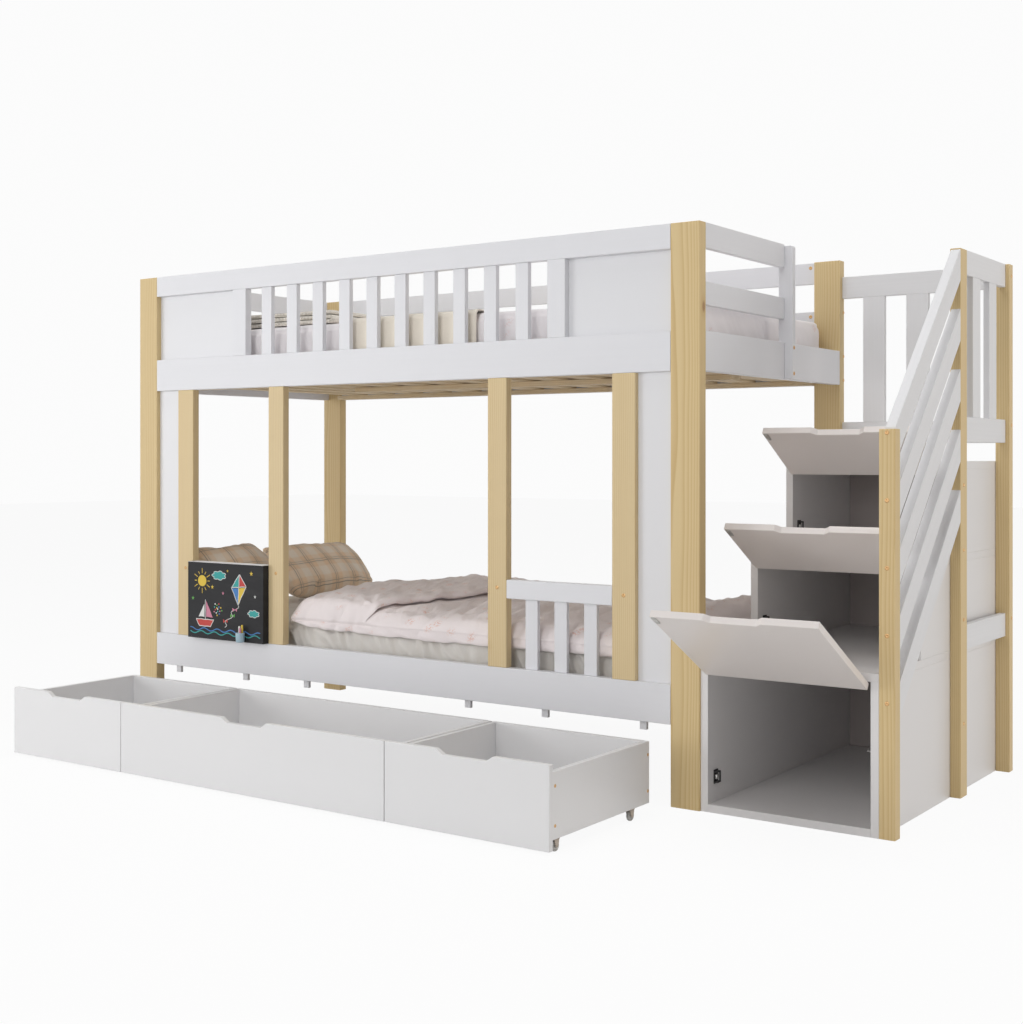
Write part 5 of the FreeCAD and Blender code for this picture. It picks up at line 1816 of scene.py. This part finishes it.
@dataclass
class Blanket:
    """A woollen blanket folded across the upper mattress, hanging at both sides."""

    finish: Cloth
    thick: float = 0.0032
    drop: float = 0.110
    edge: float = 0.018
    columns: int = 84
    rise_rows: int = 22
    flat_rows: int = 130

    def build(self) -> None:
        """A sheet p(u, v): u across the blanket, v along a path up the front, over the mattress
        and down the back.
        """
        low, high = packed_box("upper_blanket")
        top = high[2] - 0.0028
        front, back = low[1] + 0.0026, high[1] - 0.0026
        ease, base = self.edge, top - self.drop
        bend = np.linspace(0, math.pi / 2, 9)[1:-1]
        heights = np.linspace(base, top - ease, self.rise_rows)
        rise = np.stack([np.full(self.rise_rows, front), heights], 1)
        over = np.stack([front + ease - ease * np.cos(bend), top - ease + ease * np.sin(bend)], 1)
        run = np.linspace(front + ease, back - ease, self.flat_rows)
        flat = np.stack([run, np.full(self.flat_rows, top)], 1)
        climb = np.concatenate([rise, over])
        path = np.concatenate([climb, flat, (climb * [-1, 1])[::-1] + [front + back, 0]])
        x = np.linspace(low[0], high[0], self.columns)
        grid = np.stack(np.broadcast_arrays(x[:, None], path[None, :, 0], path[None, :, 1]), -1)
        level = step(grid[..., 2], top - 0.004, top)
        grid[..., 2] += 0.0012 * level * (waves(grid, 0.16, 7, 51) + 1.0)
        hang = 1 - step(grid[..., 2], top - 0.06, top - 0.01)
        sway = 0.0009 * hang * np.sin(grid[..., 0] * 88 + 2)
        grid[..., 1] += np.where(grid[..., 1] < MIDDLE, -np.abs(sway), np.abs(sway))
        grid[..., 2] += 0.003 * (1 - step(grid[..., 2], base, base + 0.05)) * np.sin(grid[..., 0] * 23)
        piece = Sketch().grid(grid).mesh("upper_blanket_cloth")
        thicken(piece, self.thick)
        settle(piece, self.finish, ROOT, "upper_blanket")


@dataclass
class Throw:
    """A chunky knitted throw, folded in three on the head of the upper mattress."""

    finish: Cloth
    thick: float = 0.0115
    layers: int = 3
    run_rows: int = 74
    columns: int = 100

    def build(self) -> None:
        """A folded sheet: a path that runs to and fro with half-round turns, carried across."""
        low, high = packed_box("knitted_throw")
        pitch = (high[2] - low[2] - 0.001 - self.thick) / (self.layers - 1)
        left, right = low[0] + 0.02, high[0] - 0.02
        path: list[np.ndarray] = []
        for layer in range(self.layers):
            run = np.linspace(left, right, self.run_rows)
            z = low[2] + 0.0005 + self.thick / 2 + pitch * layer
            forward = layer % 2 == 0
            path.append(np.stack([run if forward else run[::-1], np.full(self.run_rows, z)], 1))
            if layer < self.layers - 1:
                t = np.linspace(-math.pi / 2, math.pi / 2, 9)[1:-1]
                edge, way = (right, 1) if forward else (left, -1)
                turn = edge + way * pitch / 2 * np.cos(t)
                path.append(np.stack([turn, z + pitch / 2 + pitch / 2 * np.sin(t)], 1))
        line = np.concatenate(path)
        y = np.linspace(low[1] + 0.008, high[1] - 0.008, self.columns)
        grid = np.stack(np.broadcast_arrays(line[:, None, 0], y[None], line[:, None, 1]), -1)
        layer_of = np.round((grid[..., 2] - low[2]) / pitch)
        side = np.where(grid[..., 1] < MIDDLE, 1, -1)
        outer = step(np.abs(grid[..., 1] - MIDDLE), 0.25, 0.40)
        grid[..., 1] += 0.006 * np.sin(grid[..., 0] * 9 + layer_of) * side * outer
        grid[..., 0] += 0.005 * waves(grid, 0.3, 5, 61, (0.2, 1, 3))
        piece = Sketch().grid(grid).mesh("knitted_throw_cloth")
        thicken(piece, self.thick)
        settle(piece, self.finish, ROOT, "knitted_throw")


@dataclass
class Bedding:
    """Everything soft on the two bunks."""

    def build(self) -> None:
        """Builds each soft piece."""
        Mattress("upper_mattress", UPPER_SHEET, 0.0012, 0.017, slack=0.004).build()
        Mattress("lower_mattress", LOWER_SHEET, 0.0072).build()
        Duvet(DUVET_PRINT).build()
        Pillows(PLAID).build()
        Blanket(BLANKET_WOOL).build()
        Throw(THROW_KNIT).build()


# ---------------------------------------------------------------- studio

@dataclass(frozen=True)
class Lamp:
    """A square soft lamp turned towards a target."""

    name: str
    place: Colour
    target: Colour
    size: float
    power: float
    tint: Colour = (1.0, 1.0, 1.0)

    def hang(self, scene: bpy.types.Scene) -> None:
        """Adds the lamp to the scene."""
        light = bpy.data.lights.new(self.name, "AREA")
        light.shape, light.size, light.energy = "SQUARE", self.size, self.power
        light.color = self.tint
        holder = bpy.data.objects.new(self.name, light)
        holder.location = self.place
        way = Vector(self.target) - Vector(self.place)
        holder.rotation_euler = way.to_track_quat("-Z", "Y").to_euler()
        scene.collection.objects.link(holder)


@dataclass
class Studio:
    """Camera, pale floor and soft lights."""

    place: Colour = (3.7323, -3.4139, 0.8977)
    turn: float = 0.63729
    lens: float = 51.80
    shift: tuple[float, float] = (0.0701, -0.0531)
    world_strength: float = 0.3
    backdrop_strength: float = 0.97
    floor_glow: float = 0.93
    lamps: tuple[Lamp, ...] = ()

    def build(self) -> None:
        """Sets up the camera, the world, the floor and the lamps."""
        scene = bpy.context.scene
        scene.view_settings.view_transform = "Standard"
        camera = bpy.data.objects.new("camera", bpy.data.cameras.new("camera"))
        camera.data.lens, camera.data.sensor_width = self.lens, 36.0
        camera.data.shift_x, camera.data.shift_y = self.shift
        camera.data.clip_end = 100.0
        camera.location = self.place
        camera.rotation_euler = (math.pi / 2, 0.0, self.turn)
        scene.collection.objects.link(camera)
        scene.camera = camera
        self._world(scene)
        self._floor(scene)
        for lamp in self.lamps:
            lamp.hang(scene)

    def _world(self, scene: bpy.types.Scene) -> None:
        """A pale surround that camera, glossy and transmitted rays see as white."""
        world = bpy.data.worlds.new("studio")
        world.use_nodes = True
        tree = world.node_tree
        tree.nodes.clear()
        path = tree.nodes.new("ShaderNodeLightPath")
        seen = self._seen(tree, path)
        strength = tree.nodes.new("ShaderNodeMapRange")
        strength.inputs["To Min"].default_value = self.world_strength
        strength.inputs["To Max"].default_value = self.backdrop_strength
        tree.links.new(seen, strength.inputs["Value"])
        background = tree.nodes.new("ShaderNodeBackground")
        background.inputs["Color"].default_value = (1.0, 1.0, 1.0, 1.0)
        tree.links.new(strength.outputs[0], background.inputs["Strength"])
        end = tree.nodes.new("ShaderNodeOutputWorld")
        tree.links.new(background.outputs[0], end.inputs["Surface"])
        scene.world = world

    @staticmethod
    def _seen(tree: bpy.types.NodeTree, path: bpy.types.Node) -> bpy.types.NodeSocket:
        """The largest of three marks, which is 1 for camera, glossy and transmitted rays.

        Args:
            tree: the world's nodes.
            path: its Light Path node.

        Returns:
            The socket that carries it.
        """
        last = path.outputs["Is Camera Ray"]
        for name in ("Is Glossy Ray", "Is Transmission Ray"):
            most = tree.nodes.new("ShaderNodeMath")
            most.operation = "MAXIMUM"
            tree.links.new(last, most.inputs[0])
            tree.links.new(path.outputs[name], most.inputs[1])
            last = most.outputs[0]
        return last

    def _floor(self, scene: bpy.types.Scene) -> None:
        """A wide floor: diffuse to the lamps' light, and mostly white where it is seen."""
        side = np.linspace(-20, 24, 9)
        x, y = np.meshgrid(side, side, indexing="ij")
        flat = np.stack([x, y, np.zeros(x.shape)], -1)
        floor = Sketch().grid(flat).mesh("studio_floor", smooth=False)
        graph = Graph("studio_floor")
        cloud = graph.noise(graph.place(), 0.7, 2.0)
        grey = graph.shade((0.86, 0.86, 0.86), 0.99 + 0.02 * cloud)
        diffuse = graph.node("ShaderNodeBsdfDiffuse", {"Color": grey})
        glow = graph.node("ShaderNodeEmission", {"Color": (1.0, 1.0, 1.0), "Strength": 1.0})
        path = graph.node("ShaderNodeLightPath", output="Is Camera Ray")
        seen = path.highest(path.sibling("Is Glossy Ray")).highest(path.sibling("Is Transmission Ray"))
        sockets = {0: self.floor_glow * seen, 1: diffuse, 2: glow}
        graph.node_output(graph.node("ShaderNodeMixShader", sockets))
        floor.data.materials.append(graph.material)


LAMPS = (
    Lamp("left_lamp", (-5.0, -4.8, 1.5), (1.0, 0.2, 0.6), 3.6, 46.0),
    Lamp("front_lamp", (1.5, -9.0, 5.0), (1.2, 0.2, 0.6), 5.0, 150.0),
    Lamp("side_lamp", (7.5, 1.5, 1.8), (2.4, 0.5, 0.7), 3.0, 84.0, (1.0, 0.955, 0.90)),
    Lamp("top_lamp", (1.2, 0.0, 5.5), (1.2, 0.0, 0.0), 4.0, 104.0),
    Lamp("low_left_lamp", (-2.6, -4.2, 1.0), (0.6, 0.1, 0.4), 1.9, 47.0),
    Lamp("low_front_lamp", (2.4, -11.5, 2.2), (1.2, 0.2, 0.5), 3.4, 118.0),
)


def main() -> None:
    """Builds the studio, then each sub-assembly in order."""
    logging.basicConfig(level=logging.INFO, format="%(name)s: %(message)s")
    joinery = Joinery()
    parts: list[Callable[[], None]] = [
        Studio(lamps=LAMPS).build,
        BedFrame(joinery).build,
        Stairs(joinery).build,
        Drawers(joinery).build,
        Bolts().build,
        Chalkboard(joinery).build,
        Bedding().build,
    ]
    for build in parts:
        build()
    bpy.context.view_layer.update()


if __name__ == "__main__":
    main()
